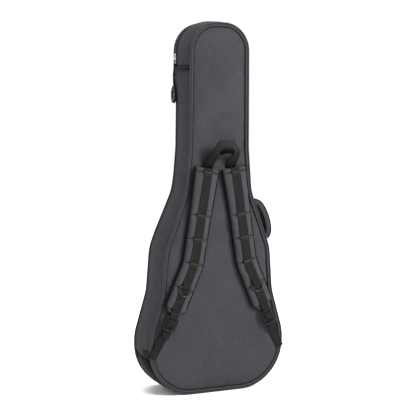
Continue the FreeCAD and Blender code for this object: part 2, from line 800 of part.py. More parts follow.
# ---------------------------------------------------------------- inside fittings
cradle_half = dim("cradle_half")
groove = dim("cradle_groove")
cradle = new_body("neck_cradle", Placement(Vector(0, 0, dim("cradle_z")), Rotation()))
cradle_top = dim("cradle_top")
groove_floor = inside_back + 18
cradle_plan = [
    (-cradle_half, inside_back, 3), (cradle_half, inside_back, 3), (cradle_half, cradle_top, 5),
    (groove, cradle_top, 5), (groove, groove_floor, 22), (-groove, groove_floor, 22),
    (-groove, cradle_top, 5), (-cradle_half, cradle_top, 5),
]
pad(cradle, new_sketch(cradle, "XY_Plane", [cradle_plan]), "dims.cradle_height")

neck_strap_gap = 0.6
neck_strap_thick = 2
neck_strap_width = 38
neck_strap_y = cradle_top + neck_strap_gap
neck_strap_z = dim("cradle_z") + 11
neck_strap_plan = rectangle(-cradle_half + 4, 0, cradle_half, neck_strap_thick)
neck_strap = new_body("neck_strap", Placement(Vector(0, neck_strap_y, neck_strap_z), Rotation()))
pad(neck_strap, new_sketch(neck_strap, "XY_Plane", [neck_strap_plan]), neck_strap_width)

fastener_width = 32
fastener_z = dim("cradle_z") + 14
fastener_plan = rectangle(18, 0, cradle_half - 6, 1.5)
fastener_place = Placement(Vector(0, neck_strap_y + neck_strap_thick, fastener_z), Rotation())
fastener = new_body("neck_strap_fastener", fastener_place)
pad(fastener, new_sketch(fastener, "XY_Plane", [fastener_plan]), fastener_width)

bumper_half = dim("bumper_half")
bumper_front = dim("front_body") - dim("lid_rim") - 4
bumper_plan = rectangle(-bumper_half, inside_back, bumper_half, bumper_front, 4)
bumper = new_body("tail_bumper", Placement(Vector(0, 0, boot_skin + lined), Rotation()))
pad(bumper, new_sketch(bumper, "XY_Plane", [bumper_plan]), "dims.bumper_height")

head_rest_z = 985
head_rest_depth = 12
head_rest_plan = rectangle(-48, -30, 48, 30, 14)
head_rest = new_body("headstock_rest", Placement(Vector(0, inside_back, head_rest_z), Rotation()))
pad(head_rest, new_sketch(head_rest, "XZ_Plane", [head_rest_plan], offset=-head_rest_depth), head_rest_depth)

# ---------------------------------------------------------------- checks and export
doc.recompute()
problems = []
for item in doc.Objects:
    if "Invalid" in item.State or "Error" in item.State:
        problems.append(f"{item.Name}: {item.State}")
for item in SUBPARTS:
    if item.Shape.isNull() or not item.Shape.isValid():
        problems.append(f"{item.Label}: bad shape")
    elif not item.Shape.Solids:
        problems.append(f"{item.Label}: no solid")
if problems:
    raise RuntimeError("\n".join(problems))

os.makedirs("parts", exist_ok=True)
for item in SUBPARTS:
    item.Shape.exportStep(os.path.join("parts", f"{item.Label}.step"))
print(len(SUBPARTS), "sub-parts")
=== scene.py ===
import math

import bmesh
import bpy
import numpy as np
from mathutils import Matrix, Vector, noise


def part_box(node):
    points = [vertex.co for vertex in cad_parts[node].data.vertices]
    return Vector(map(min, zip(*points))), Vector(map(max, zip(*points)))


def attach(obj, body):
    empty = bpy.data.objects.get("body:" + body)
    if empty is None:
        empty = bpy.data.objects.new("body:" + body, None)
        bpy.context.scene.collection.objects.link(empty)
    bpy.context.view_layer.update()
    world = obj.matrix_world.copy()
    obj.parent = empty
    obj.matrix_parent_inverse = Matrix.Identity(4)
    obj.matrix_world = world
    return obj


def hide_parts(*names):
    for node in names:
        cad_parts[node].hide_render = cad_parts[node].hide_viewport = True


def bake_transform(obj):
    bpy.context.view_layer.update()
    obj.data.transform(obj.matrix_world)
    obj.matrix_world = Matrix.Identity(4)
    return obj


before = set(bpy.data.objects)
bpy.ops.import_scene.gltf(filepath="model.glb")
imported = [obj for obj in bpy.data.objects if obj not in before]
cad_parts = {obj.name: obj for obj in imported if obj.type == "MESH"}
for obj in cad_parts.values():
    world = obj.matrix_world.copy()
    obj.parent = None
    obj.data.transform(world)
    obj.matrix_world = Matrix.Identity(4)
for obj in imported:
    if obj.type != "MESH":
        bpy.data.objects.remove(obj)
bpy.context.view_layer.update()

# ================================================================ camera
DEG = math.pi / 180
CAMERA_PLACE = Vector((-1.4607, -3.0993, 0.9095))
CAMERA_YAW = -25.127 * DEG
CAMERA_PITCH = 6.138 * DEG
CAMERA_ROLL = 0.468 * DEG


def make_camera():
    """Camera behind the bag and to its left, a little above the shoulder straps."""
    forward = Vector((-math.sin(CAMERA_YAW) * math.cos(CAMERA_PITCH),
                      math.cos(CAMERA_YAW) * math.cos(CAMERA_PITCH),
                      -math.sin(CAMERA_PITCH)))
    level = forward.cross(Vector((0, 0, 1))).normalized()
    upright = level.cross(forward)
    right = level * math.cos(CAMERA_ROLL) + upright * math.sin(CAMERA_ROLL)
    up = upright * math.cos(CAMERA_ROLL) - level * math.sin(CAMERA_ROLL)
    data = bpy.data.cameras.new("camera")
    data.lens = 100.93
    data.sensor_width = 36
    camera = bpy.data.objects.new("camera", data)
    bpy.context.scene.collection.objects.link(camera)
    turned = Matrix((right, up, -forward)).transposed().to_4x4()
    camera.matrix_world = Matrix.Translation(CAMERA_PLACE) @ turned
    bpy.context.scene.camera = camera


make_camera()

# ================================================================ the two cords of the zip puller
MM = 0.001
CORD_RADIUS = 1.5 * MM
CORD_ROUTES = {
    "puller_cord_front": [(-0.099608, 0.04276, 0.956), (-0.101708, 0.0432, 0.9389),
                          (-0.102608, 0.04353, 0.91838), (-0.100808, 0.04276, 0.899)],
    "puller_cord_back": [(-0.099608, 0.03924, 0.956), (-0.100588, 0.0388, 0.9389),
                         (-0.101008, 0.03847, 0.91838), (-0.100168, 0.03924, 0.899)],
}


def make_cord(node_name, route):
    """One strand as a smooth curve on its given route."""
    curve = bpy.data.curves.new(node_name + "_line", "CURVE")
    curve.dimensions = "3D"
    curve.bevel_depth = 1.0
    curve.bevel_resolution = 4
    curve.resolution_u = 16
    curve.use_fill_caps = True
    spline = curve.splines.new("NURBS")
    spline.points.add(len(route) - 1)
    for point, place in zip(spline.points, route):
        point.co = (*place, 1)
        point.radius = CORD_RADIUS
    spline.order_u = 3
    spline.use_endpoint_u = True
    strand = bpy.data.objects.new(node_name + "_braid", curve)
    bpy.context.scene.collection.objects.link(strand)
    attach(strand, "cord_puller")
    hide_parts(node_name)
    return strand


cords = {name: make_cord(name, route) for name, route in CORD_ROUTES.items()}


# ================================================================ materials
def node(tree, kind, **values):
    """A new shader node; values are properties by name or inputs by socket name."""
    made = tree.nodes.new("ShaderNode" + kind)
    for key, value in values.items():
        if hasattr(made, key):
            setattr(made, key, value)
        else:
            made.inputs[key.replace("_", " ")].default_value = value
    return made


def math_node(tree, operation, first, second=None):
    """Output of a math node whose operands are sockets or numbers."""
    made = node(tree, "Math", operation=operation)
    for socket, value in zip(made.inputs, (first, second)):
        if isinstance(value, bpy.types.NodeSocket):
            tree.links.new(value, socket)
        elif value is not None:
            socket.default_value = value
    return made.outputs[0]


def start_material(name, rough, sheen=0.0, metallic=0.0, specular=0.5):
    """A new material with its node tree and shader."""
    material = bpy.data.materials.new(name)
    material.use_nodes = True
    tree = material.node_tree
    shader = tree.nodes["Principled BSDF"]
    shader.inputs["Roughness"].default_value = rough
    shader.inputs["Metallic"].default_value = metallic
    shader.inputs["Specular IOR Level"].default_value = specular
    shader.inputs["Sheen Weight"].default_value = sheen
    shader.inputs["Sheen Roughness"].default_value = 0.45
    return material, tree, shader


def surface_vector(tree, along_surface):
    """Coordinates in metres: along the cloth from its UV map, or in the piece's own frame."""
    coordinates = node(tree, "TexCoord")
    return coordinates.outputs["UV" if along_surface else "Object"]


def scaled(tree, vector, scale):
    """Coordinates multiplied by a scale for each axis."""
    mapping = node(tree, "Mapping", Scale=scale)
    tree.links.new(vector, mapping.inputs["Vector"])
    return mapping.outputs["Vector"]


def noise_value(tree, vector, scale, detail=2.0):
    """Noise about zero, from -0.5 to 0.5; scale is a number or one for each axis."""
    if not isinstance(scale, tuple):
        scale = (scale, scale, scale)
    texture = node(tree, "TexNoise", Scale=1.0, Detail=detail)
    tree.links.new(scaled(tree, vector, scale), texture.inputs["Vector"])
    return math_node(tree, "SUBTRACT", texture.outputs["Fac"], 0.5)


def ridges(tree, vector, axis, pitch):
    """Rounded ridges across one axis of the coordinates, from 0 to 1."""
    split = node(tree, "SeparateXYZ")
    tree.links.new(vector, split.inputs[0])
    turned = math_node(tree, "MULTIPLY", split.outputs[axis], math.pi / pitch)
    return math_node(tree, "ABSOLUTE", math_node(tree, "SINE", turned))


def total(tree, *terms):
    """Sum of (socket, weight) pairs."""
    sum_so_far = 0.0
    for socket, weight in terms:
        sum_so_far = math_node(tree, "ADD", math_node(tree, "MULTIPLY", socket, weight), sum_so_far)
    return sum_so_far


def paint(tree, shader, dark, light, share):
    """Colour between dark and light by a share about 0.5, with painted shade where the shade attribute is
    high.
    """
    mix = node(tree, "Mix", data_type="RGBA")
    mix.inputs[6].default_value = (*dark, 1)
    mix.inputs[7].default_value = (*light, 1)
    tree.links.new(share, mix.inputs[0])
    # Painted shade: the shade attribute multiplies the colour toward near black, in seams, creases and under
    # folds, and for the dark rows of the cross seam.
    shade = node(tree, "Attribute", attribute_name="shade")
    darker = node(tree, "Mix", data_type="RGBA", blend_type="MULTIPLY")
    tree.links.new(shade.outputs["Fac"], darker.inputs[0])
    tree.links.new(mix.outputs[2], darker.inputs[6])
    darker.inputs[7].default_value = (0.10, 0.10, 0.11, 1)
    tree.links.new(darker.outputs[2], shader.inputs["Base Color"])


def add_bump(tree, shader, height, distance, strength):
    """Relief from a height between 0 and about 1."""
    bump = node(tree, "Bump", Distance=distance, Strength=strength)
    tree.links.new(height, bump.inputs["Height"])
    tree.links.new(bump.outputs[0], shader.inputs["Normal"])


def woven(name, dark, light, pitch=0.8 * MM, rough=0.85, sheen=0.02, heather=0.5, along_surface=True,
          bump=0.25 * MM, specular=0.05):
    """Plain-weave cloth: two sets of threads in a heathered colour."""
    material, tree, shader = start_material(name, rough, sheen, specular=specular)
    vector = surface_vector(tree, along_surface)
    warp = ridges(tree, vector, 0, pitch)
    weft = ridges(tree, vector, 1 if along_surface else 2, pitch)
    mottle = noise_value(tree, vector, 420.0)
    streak = noise_value(tree, vector, (260.0, 30.0, 30.0), 3.0)
    cross = noise_value(tree, vector, (40.0, 300.0, 300.0), 2.0)
    slow = noise_value(tree, vector, 9.0)
    share = total(tree, (mottle, heather), (streak, heather), (cross, heather * 0.7), (slow, 0.5),
                  (warp, 0.06), (weft, 0.06))
    paint(tree, shader, dark, light, math_node(tree, "ADD", share, 0.44))
    height = math_node(tree, "MULTIPLY", warp, weft)
    height = total(tree, (height, 1.0), (mottle, 0.8))
    add_bump(tree, shader, height, bump, 0.7)
    return material


def ribbed(name, dark, light, rib, rough=0.6, bump=0.35 * MM, contrast=0.35):
    """Webbing, grosgrain or thread: ribs along its length, broken by the crossing thread."""
    material, tree, shader = start_material(name, rough, specular=0.04)
    vector = surface_vector(tree, True)
    rib_height = ridges(tree, vector, 0, rib)
    crossing = ridges(tree, vector, 1, 1.1 * MM)
    worn = noise_value(tree, vector, 60.0, 4.0)
    fine = noise_value(tree, vector, 700.0)
    share = total(tree, (rib_height, contrast), (crossing, 0.12), (worn, 0.9), (fine, 0.5))
    paint(tree, shader, dark, light, math_node(tree, "ADD", share, 0.2))
    height = total(tree, (rib_height, 1.0), (crossing, 0.35), (fine, 0.4))
    add_bump(tree, shader, height, bump, 0.8)
    return material


def moulded(name, dark, light, rough, metallic=0.0, grain=900.0, bump=0.05 * MM, specular=0.5):
    """Plastic, rubber, nylon or metal: a fine grain and uneven polish."""
    material, tree, shader = start_material(name, rough, 0.0, metallic, specular)
    vector = surface_vector(tree, False)
    fine = noise_value(tree, vector, grain, 3.0)
    slow = noise_value(tree, vector, 45.0, 3.0)
    paint(tree, shader, dark, light, math_node(tree, "ADD", total(tree, (fine, 0.6), (slow, 1.0)), 0.45))
    polish = math_node(tree, "ADD", total(tree, (slow, 0.3), (fine, 0.12)), rough)
    tree.links.new(polish, shader.inputs["Roughness"])
    add_bump(tree, shader, total(tree, (fine, 1.0), (slow, 0.6)), bump, 0.8)
    return material


def braided(name, dark, light):
    """Round cord: crossing diagonal strands."""
    material, tree, shader = start_material(name, 0.6, specular=0.08)
    vector = surface_vector(tree, False)
    turned = node(tree, "VectorRotate", rotation_type="EULER_XYZ")
    turned.inputs["Rotation"].default_value = (0.7, 0.7, 0)
    tree.links.new(vector, turned.inputs["Vector"])
    one = ridges(tree, turned.outputs[0], 2, 1.1 * MM)
    other = ridges(tree, turned.outputs[0], 1, 1.1 * MM)
    fine = noise_value(tree, vector, 900.0)
    height = total(tree, (one, 0.6), (other, 0.6), (fine, 0.3))
    paint(tree, shader, dark, light, math_node(tree, "MULTIPLY", height, 0.7))
    add_bump(tree, shader, height, 0.3 * MM, 0.9)
    return material


SHELL_CLOTH = woven("shell_cloth", (0.0160, 0.0153, 0.0180), (0.0397, 0.0382, 0.0437))
STRAP_CLOTH = woven("strap_cloth", (0.0185, 0.0177, 0.0206), (0.0448, 0.0430, 0.0490), pitch=0.7 * MM)
LINING_CLOTH = woven("lining_cloth", (0.014, 0.014, 0.016), (0.034, 0.034, 0.038), pitch=0.5 * MM, rough=0.7,
                     sheen=0.12, heather=0.3)
MESH_CLOTH = woven("strap_mesh", (0.004, 0.004, 0.0045), (0.012, 0.012, 0.013), pitch=2.2 * MM, rough=0.8)
BOOT_CLOTH = woven("boot_coating", (0.0008, 0.0008, 0.0009), (0.0040, 0.0040, 0.0044), pitch=1.1 * MM,
                   rough=0.5, sheen=0.0, heather=0.2, bump=0.12 * MM, specular=0.015)
PIPING = ribbed("piping", (0.0165, 0.0158, 0.0185), (0.0436, 0.0416, 0.0475), rib=1.0 * MM, rough=0.7)
BINDING = ribbed("binding_tape", (0.0021, 0.0021, 0.0024), (0.0072, 0.0072, 0.0078), rib=1.0 * MM, rough=0.7)
WEBBING = ribbed("webbing_weave", (0.0005, 0.0006, 0.0005), (0.0102, 0.0107, 0.0102), rib=5.0 * MM,
                 bump=0.5 * MM, contrast=0.6)
HANDLE_WEB = ribbed("handle_weave", (0.0060, 0.0066, 0.0060), (0.0200, 0.0210, 0.0190), rib=2.0 * MM)
ZIP_TAPE = ribbed("zip_tape_weave", (0.0045, 0.0045, 0.005), (0.013, 0.013, 0.014), rib=0.9 * MM)
ZIP_COIL = moulded("zip_coil_nylon", (0.005, 0.005, 0.0055), (0.014, 0.014, 0.015), rough=0.35, specular=0.3)
NICKEL = moulded("nickel", (0.42, 0.41, 0.40), (0.62, 0.60, 0.58), rough=0.24, metallic=1.0, grain=500.0,
                 bump=0.02 * MM)
DARK_METAL = moulded("dark_metal", (0.005, 0.005, 0.005), (0.016, 0.016, 0.015), rough=0.24, metallic=0.3,
                     bump=0.02 * MM, specular=0.3)
PLASTIC = moulded("black_plastic", (0.002, 0.002, 0.0022), (0.007, 0.007, 0.0075), rough=0.26, specular=0.14)
RUBBER = moulded("grip_rubber", (0.003, 0.003, 0.0033), (0.009, 0.009, 0.0095), rough=0.5, specular=0.25)
CORD_BRAID = braided("cord_braid", (0.003, 0.003, 0.003), (0.014, 0.014, 0.014))
DARK_THREAD = ribbed("dark_thread", (0.004, 0.004, 0.0045), (0.012, 0.012, 0.013), rib=0.5 * MM)
GREY_THREAD = ribbed("grey_thread", (0.014, 0.0135, 0.015), (0.036, 0.035, 0.038), rib=0.5 * MM)
# Thread of the bar tacks; also the painted highlights on the webbing's ribs below each tack.
TACK_THREAD_AND_RIB_HIGHLIGHT = ribbed("tack_thread_and_rib_highlight", (0.045, 0.048, 0.032), (0.115, 0.118, 0.082), rib=0.5 * MM)

for name, strand in cords.items():
    strand.data.materials.append(CORD_BRAID)


# ================================================================ mesh tools
def add_object(name, mesh, material):
    """A smooth-shaded object in the scene with one material."""
    made = bpy.data.objects.new(name, mesh)
    bpy.context.scene.collection.objects.link(made)
    mesh.materials.append(material)
    for polygon in mesh.polygons:
        polygon.use_smooth = True
    return made


def grid_piece(name, grid, material, around=False, ring=False, caps=False, uv=None, shade=None):
    """A mesh from a grid of points (rows, columns, 3).

    around joins the last row to the first and ring the last column to the first. caps closes both
    ends of a tube. uv holds metres along the cloth; without it, lengths along the grid are used.
    """
    grid = np.asarray(grid, float)
    rows, columns = grid.shape[:2]
    if uv is None:
        across = np.linalg.norm(np.diff(grid, axis=1, append=grid[:, :1]), axis=2)
        along = np.linalg.norm(np.diff(grid, axis=0, append=grid[:1]), axis=2)
        u = np.concatenate([np.zeros((rows, 1)), np.cumsum(across, axis=1)], axis=1)
        v = np.concatenate([[0], np.cumsum(along.mean(axis=1))])
        uv_at = lambda i, j: (u[min(i, rows) % rows, j], v[i])
    else:
        uv_at = lambda i, j: tuple(uv[i % rows][j % columns])
    faces, corners = [], []
    for i in range(rows if around else rows - 1):
        for j in range(columns if ring else columns - 1):
            quad = [(i, j), (i, j + 1), (i + 1, j + 1), (i + 1, j)]
            faces.append([(a % rows) * columns + b % columns for a, b in quad])
            corners.append([uv_at(a, b) for a, b in quad])
    if caps and ring and not around:
        for row, order in ((0, 1), (rows - 1, -1)):
            face = [row * columns + j for j in range(columns)][::-order]
            faces.append(face)
            corners.append([uv_at(row, index - row * columns) for index in face])
    mesh = bpy.data.meshes.new(name)
    mesh.from_pydata(grid.reshape(-1, 3).tolist(), [], faces)
    layer = mesh.uv_layers.new(name="UVMap")
    layer.data.foreach_set("uv", [value for face in corners for pair in face for value in pair])
    if shade is not None:
        attribute = mesh.attributes.new("shade", "FLOAT", "POINT")
        attribute.data.foreach_set("value", np.clip(np.asarray(shade, float).ravel(), 0, 1))
    mesh.validate()
    return add_object(name, mesh, material)


def face_outward(piece):
    """Turn all faces outward."""
    shape = bmesh.new()
    shape.from_mesh(piece.data)
    bmesh.ops.recalc_face_normals(shape, faces=shape.faces)
    shape.to_mesh(piece.data)
    shape.free()
    return piece


def closed_piece(name, grid, material, **options):
    """A closed form from rings of points, capped at both ends unless it runs all round."""
    return face_outward(grid_piece(name, grid, material, ring=True, caps=True, **options))


def join(name, pieces):
    """Join several pieces into one named mesh."""
    with bpy.context.temp_override(active_object=pieces[0], selected_editable_objects=pieces,
                                   selected_objects=pieces, object=pieces[0]):
        bpy.ops.object.join()
    pieces[0].name = name
    pieces[0].data.name = name
    return pieces[0]


def apply_modifiers(piece):
    """Replace a piece's mesh by what its modifiers make of it."""
    graph = bpy.context.evaluated_depsgraph_get()
    made = bpy.data.meshes.new_from_object(piece.evaluated_get(graph), depsgraph=graph,
                                           preserve_all_data_layers=True)
    piece.modifiers.clear()
    old = piece.data
    piece.data = made
    bpy.data.meshes.remove(old)
    for polygon in made.polygons:
        polygon.use_smooth = True
    return piece


def thicken(piece, thickness):
    """Give a sheet its real thickness, measured inward from its outer face."""
    solid = piece.modifiers.new("thickness", "SOLIDIFY")
    solid.thickness = thickness
    solid.offset = -1
    return apply_modifiers(piece)


def fuse(piece, voxel, rounds=3):
    """Melt overlapping parts into one with soft inner corners."""
    melt = piece.modifiers.new("melt", "REMESH")
    melt.mode = "VOXEL"
    melt.voxel_size = voxel
    melt.use_smooth_shade = True
    relax = piece.modifiers.new("relax", "SMOOTH")
    relax.factor = 0.5
    relax.iterations = rounds
    return apply_modifiers(piece)


def subdivided(piece):
    """One level of subdivision, applied."""
    smooth = piece.modifiers.new("smooth", "SUBSURF")
    smooth.levels = smooth.render_levels = 1
    return apply_modifiers(piece)


CLOTH_STIFFNESS = 12.0


def simulate(piece, pinned, pressure, cap, shrink, frames):
    """Swell a sewn sheet or pad as cloth held at its seams, then keep the shape it takes.

    No point moves further than cap, and gravity is off.
    """
    group = piece.vertex_groups.new(name="seams")
    for index, weight in pinned.items():
        group.add([index], weight, "REPLACE")
    cloth = piece.modifiers.new("cloth", "CLOTH")
    settings = cloth.settings
    settings.vertex_group_mass = "seams"
    settings.pin_stiffness = 5.0
    settings.quality = 6
    settings.mass = 0.25
    settings.tension_stiffness = CLOTH_STIFFNESS
    settings.compression_stiffness = CLOTH_STIFFNESS
    settings.shear_stiffness = CLOTH_STIFFNESS / 2
    settings.bending_stiffness = 1.5
    settings.air_damping = 4.0
    settings.use_pressure = True
    settings.uniform_pressure_force = pressure
    settings.shrink_min = shrink
    settings.shrink_max = shrink
    settings.effector_weights.gravity = 0
    cloth.collision_settings.use_collision = False
    cloth.point_cache.frame_start = 1
    cloth.point_cache.frame_end = frames
    scene = bpy.context.scene
    before = np.array([v.co for v in piece.data.vertices])
    for number in range(1, frames + 1):
        scene.frame_set(number)
    graph = bpy.context.evaluated_depsgraph_get()
    after = np.array([v.co for v in piece.evaluated_get(graph).data.vertices])
    piece.modifiers.remove(cloth)
    scene.frame_set(1)
    move = after - before
    length = np.linalg.norm(move, axis=1, keepdims=True)
    limit = cap * np.tanh(length / cap) / np.maximum(length, 1e-9)
    piece.data.vertices.foreach_set("co", (before + move * limit).ravel())
    piece.data.update()
    return piece


def place(piece, body, slot, *nodes):
    """Ride on a body and stand for CAD nodes. The slot is not used."""
    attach(piece, body)
    if nodes:
        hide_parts(*nodes)
    return piece


# ================================================================ plane lines
TO_BACK = np.array([[0, -1, 0]])
TO_FRONT = np.array([[0, 1, 0]])


def unit(vector):
    """A vector, or each vector of an array, at length 1."""
    vector = np.asarray(vector, float)
    return vector / np.maximum(np.linalg.norm(vector, axis=-1, keepdims=True), 1e-12)


def rounded(corners, closed=False, step=MM):
    """Points of a line through (x, y, radius) corners, with tangent arcs at the corners."""
    points = []
    count = len(corners)
    for i, (x, y, radius) in enumerate(corners):
        here = np.array([x, y])
        if radius <= 0 or (not closed and i in (0, count - 1)):
            points.append(here)
            continue
        before = unit(np.array(corners[i - 1][:2]) - here)
        after = unit(np.array(corners[(i + 1) % count][:2]) - here)
        half = math.acos(np.clip(before @ after, -1, 1)) / 2
        if abs(half - math.pi / 2) < 1e-6:
            points.append(here)
            continue
        centre = here + unit(before + after) * radius / math.sin(half)
        first = here + before * radius / math.tan(half) - centre
        last = here + after * radius / math.tan(half) - centre
        sweep = math.pi - 2 * half
        for t in np.linspace(0, 1, max(3, int(radius * sweep / step))):
            points.append(centre + (first * math.sin((1 - t) * sweep) + last * math.sin(t * sweep))
                          / math.sin(sweep))
    return np.array(points)


def lengths(points):
    """Length along a line at each of its points."""
    steps = np.linalg.norm(np.diff(points, axis=0), axis=1)
    return np.concatenate([[0], np.cumsum(steps)])


def resample(points, stations):
    """Points at given lengths along a line."""
    along = lengths(points)
    return np.stack([np.interp(stations, along, points[:, k]) for k in range(points.shape[1])], axis=1)


def evenly(line, count):
    """Points at equal distances round a closed line."""
    line = np.vstack([line, line[:1]])
    return resample(line, np.linspace(0, lengths(line)[-1], count + 1))[:-1]


def circle(count):
    """Angles evenly round a circle."""
    return np.linspace(0, 2 * math.pi, count, endpoint=False)


# The bag seen from the back, right half from the floor up: x, z and corner radius.
BAG_CORNERS = [(0.215, 0.0025, 0.138), (0.215, 0.170, 0.150), (0.178, 0.296, 0.150),
               (0.168, 0.425, 0.150), (0.105, 0.594, 0.150), (0.095, 0.720, 0.150),
               (0.092, 1.080, 0.080)]
# The front seen from the side, from the floor up: y, z and corner radius.
FRONT_CORNERS = [(0.060, -0.05, 0), (0.060, 0.470, 0.150), (0.036, 0.640, 0.150),
                 (0.036, 0.850, 0.150), (0.057, 0.940, 0.150), (0.057, 1.130, 0)]
BACK = -0.055
YOKE = 0.665
ZIP_END = 0.955
LID_RIM = 15.8 * MM
LID_GAP = 0.4 * MM

front_line = rounded(FRONT_CORNERS)


def front_y(z):
    """Where the front panel is at a height."""
    return np.interp(z, front_line[:, 1], front_line[:, 0])


def grown(corners, distance):
    """Rounded corners of the same outline moved outward, for anticlockwise corners."""
    result = []
    for i, (x, y, radius) in enumerate(corners):
        here = np.array([x, y])
        into = unit(here - np.array(corners[i - 1][:2]))
        out = unit(np.array(corners[(i + 1) % len(corners)][:2]) - here)
        normals = np.array([into[1] + out[1], -into[0] - out[0]])
        moved = here + normals * distance / (1 + into @ out)
        side = 1 if into[0] * out[1] - into[1] * out[0] > 0 else -1
        result.append((moved[0], moved[1], max(radius + side * distance, 0)))
    return result


class Outline:
    """A closed outline, symmetric about x = 0, followed anticlockwise from its lowest point."""

    def __init__(self, right_half):
        left = [(-x, z, radius) for x, z, radius in reversed(right_half)]
        line = rounded([(0, right_half[0][1], 0)] + right_half + left, closed=True)
        line = np.vstack([line, line[:1]])
        line = resample(line, np.linspace(0, lengths(line)[-1], 3001))
        self.points = line
        self.along = lengths(line)
        self.girth = self.along[-1]
        tangent = unit(np.roll(line[:-1], -1, axis=0) - np.roll(line[:-1], 1, axis=0))
        self.tangent = np.vstack([tangent, tangent[:1]])

    def at(self, where):
        """Points (x, z) and the outward direction at lengths along the outline."""
        where = np.mod(where, self.girth)
        point, tangent = (np.stack([np.interp(where, self.along, line[:, k]) for k in (0, 1)], axis=1)
                          for line in (self.points, self.tangent))
        tangent = unit(tangent)
        return point, np.stack([tangent[:, 1], -tangent[:, 0]], axis=1)

    def station(self, z, left):
        """Length along the outline at a height on its right or left side."""
        half = self.along <= self.girth / 2
        at = np.interp(z, self.points[half][:, 1], self.along[half])
        return self.girth - at if left else at

    def wrapped(self, where, profile):
        """Points round the outline from (outward distance, y) pairs, or a function of height."""
        point, outward = self.at(where)
        rows = []
        for (x, z), (nx, nz) in zip(point, outward):
            pairs = profile(z) if callable(profile) else profile
            rows.append([(x + nx * d, y, z + nz * d) for d, y in pairs])
        return np.array(rows)

    def all_round(self, step=6 * MM, finer_at=None):
        """Stations all round, alike on both sides, closer together at one height."""
        half = stations(0, self.girth / 2, step)
        if finer_at is not None:
            near = self.station(finer_at, False) + np.linspace(-12, 12, 17) * MM
            half = half[(half < near[0] - step / 2) | (half > near[-1] + step / 2)]
            half = np.sort(np.concatenate([half, near]))
        return np.concatenate([half, (self.girth - half[1:-1])[::-1]])


def stations(start, end, step):
    """Evenly spaced lengths from start to end, about a step apart."""
    count = max(2, int(round(abs(end - start) / step)) + 1)
    return np.linspace(start, end, count)


bag = Outline(BAG_CORNERS)


def bead(centre, radius, count):
    """A round profile as (distance, y) pairs."""
    return [(centre[0] + radius * math.cos(a), centre[1] + radius * math.sin(a)) for a in circle(count)]


def sweep(path, across, outward, profile):
    """Points of a profile (sideways, outward) carried along a path."""
    path, across, outward = (np.asarray(a, float) for a in (path, across, outward))
    return np.array([[p + a * u + o * v for u, v in profile]
                     for p, a, o in zip(path, across, outward)])


def flat_profile(width, thick):
    """Section of a webbing: flat faces, rounded edges, the inner face at 0 and the outer at thick."""
    half = width / 2
    radius = thick / 2
    between = np.linspace(0, 1, 8)[1:-1]
    pairs = []
    for cx, start in ((half - radius, -90), (-half + radius, 90)):
        for a in np.linspace(start, start + 180, 5):
            pairs.append((cx + radius * math.cos(a * DEG), thick / 2 + thick / 2 * math.sin(a * DEG)))
        if start < 0:
            for t in between:
                pairs.append((half - radius - t * (width - 2 * radius), thick))
    for t in between:
        pairs.append((-half + radius + t * (width - 2 * radius), 0))
    return pairs


# Rings of one stitch: share of its length, size, and lift in thread radii.
STITCH_RINGS = ((0.0, 0.25, -0.6), (0.18, 1.0, 0.1), (0.5, 1.1, 0.35), (0.82, 1.0, 0.1), (1.0, 0.25, -0.6))


def stitches(name, points, outward, material, length=2.8 * MM, gap=1.2 * MM, radius=0.35 * MM):
    """A row of separate stitches along a line, each a small rounded thread."""
    points, outward = np.asarray(points, float), np.asarray(outward, float)
    along = lengths(points)
    starts = np.arange(gap, along[-1] - length, length + gap)
    verts, faces = [], []
    for start in starts:
        ends = resample(points, [start, start + length / 2, start + length])
        up = unit(resample(outward, [start])[0] if len(outward) == len(points) else outward[0])
        direction = unit(ends[2] - ends[0])
        side = unit(np.cross(direction, up))
        base = len(verts)
        for t, size, lift in STITCH_RINGS:
            middle = ends[0] * (1 - t) + ends[2] * t + up * radius * lift
            for a in (45, 135, 225, 315):
                verts.append(middle + side * radius * size * math.cos(a * DEG)
                             + up * radius * size * math.sin(a * DEG))
        for r in range(4):
            for k in range(4):
                faces.append([base + r * 4 + k, base + r * 4 + (k + 1) % 4,
                              base + (r + 1) * 4 + (k + 1) % 4, base + (r + 1) * 4 + k])
        faces.append([base + 3, base + 2, base + 1, base])
        faces.append([base + 16, base + 17, base + 18, base + 19])
    mesh = bpy.data.meshes.new(name)
    mesh.from_pydata([tuple(v) for v in verts], [], faces)
    return face_outward(add_object(name, mesh, material))


# ================================================================ the shell and the lid: skins
SKIN = 2 * MM
WALL = 12 * MM
GUSSET_BACK = BACK + 1.5 * MM
GUSSET_LOW = 0.092
CROSS_SEAM = (0.943, 0.957)
BOOT_TOP_BACK = 0.117
BOOT_RISE = 0.004
CLOTH_WAVES = 1.4 * MM


def gusset_puff(share, z):
    """How far the padded gusset swells outward between its two seams, less near the floor."""
    depth = front_y(z) - BACK
    low = min(1.0, max(0.0, (z - 0.012) / 0.09))
    return 0.05 * depth * 4 * share * (1 - share) * low


def gusset_profile(back_edge, front_shift, lift=0.0, count=13):
    """Closed section of a gusset skin, from an edge at the back to a shift from the front line."""
    def profile(z):
        front_edge = front_y(z) + front_shift
        pairs = []
        for share in np.linspace(0, 1, count):
            y = back_edge + share * (front_edge - back_edge)
            across = (y - GUSSET_BACK) / (front_y(z) - LID_RIM - GUSSET_BACK)
            roll = -1.2 * MM * (math.exp(-share * 14) + math.exp(-(1 - share) * 14))
            pairs.append((gusset_puff(min(across, 1.0), z) + lift + roll, y))
        return pairs + [(-SKIN, front_edge), (-SKIN, back_edge)]
    return profile


def soft_waves(points, height, scale, seed):
    """Shallow uneven waves in cloth, as a height at each point."""
    flat = points.reshape(-1, 3)
    values = [noise.noise(Vector((p[0] * scale + seed, p[1] * scale, p[2] * scale * 0.7))) for p in flat]
    return height * np.array(values).reshape(points.shape[:-1])


def waved(grid, where, still):
    """Push a grid round the bag in and out in shallow waves, except at the still columns."""
    _, outward = bag.at(where)
    push = soft_waves(grid, CLOTH_WAVES, 14.0, 3.0)
    push[:, still] = 0
    grid[..., 0] += push * outward[:, None, 0]
    grid[..., 2] += push * outward[:, None, 1]
    return grid


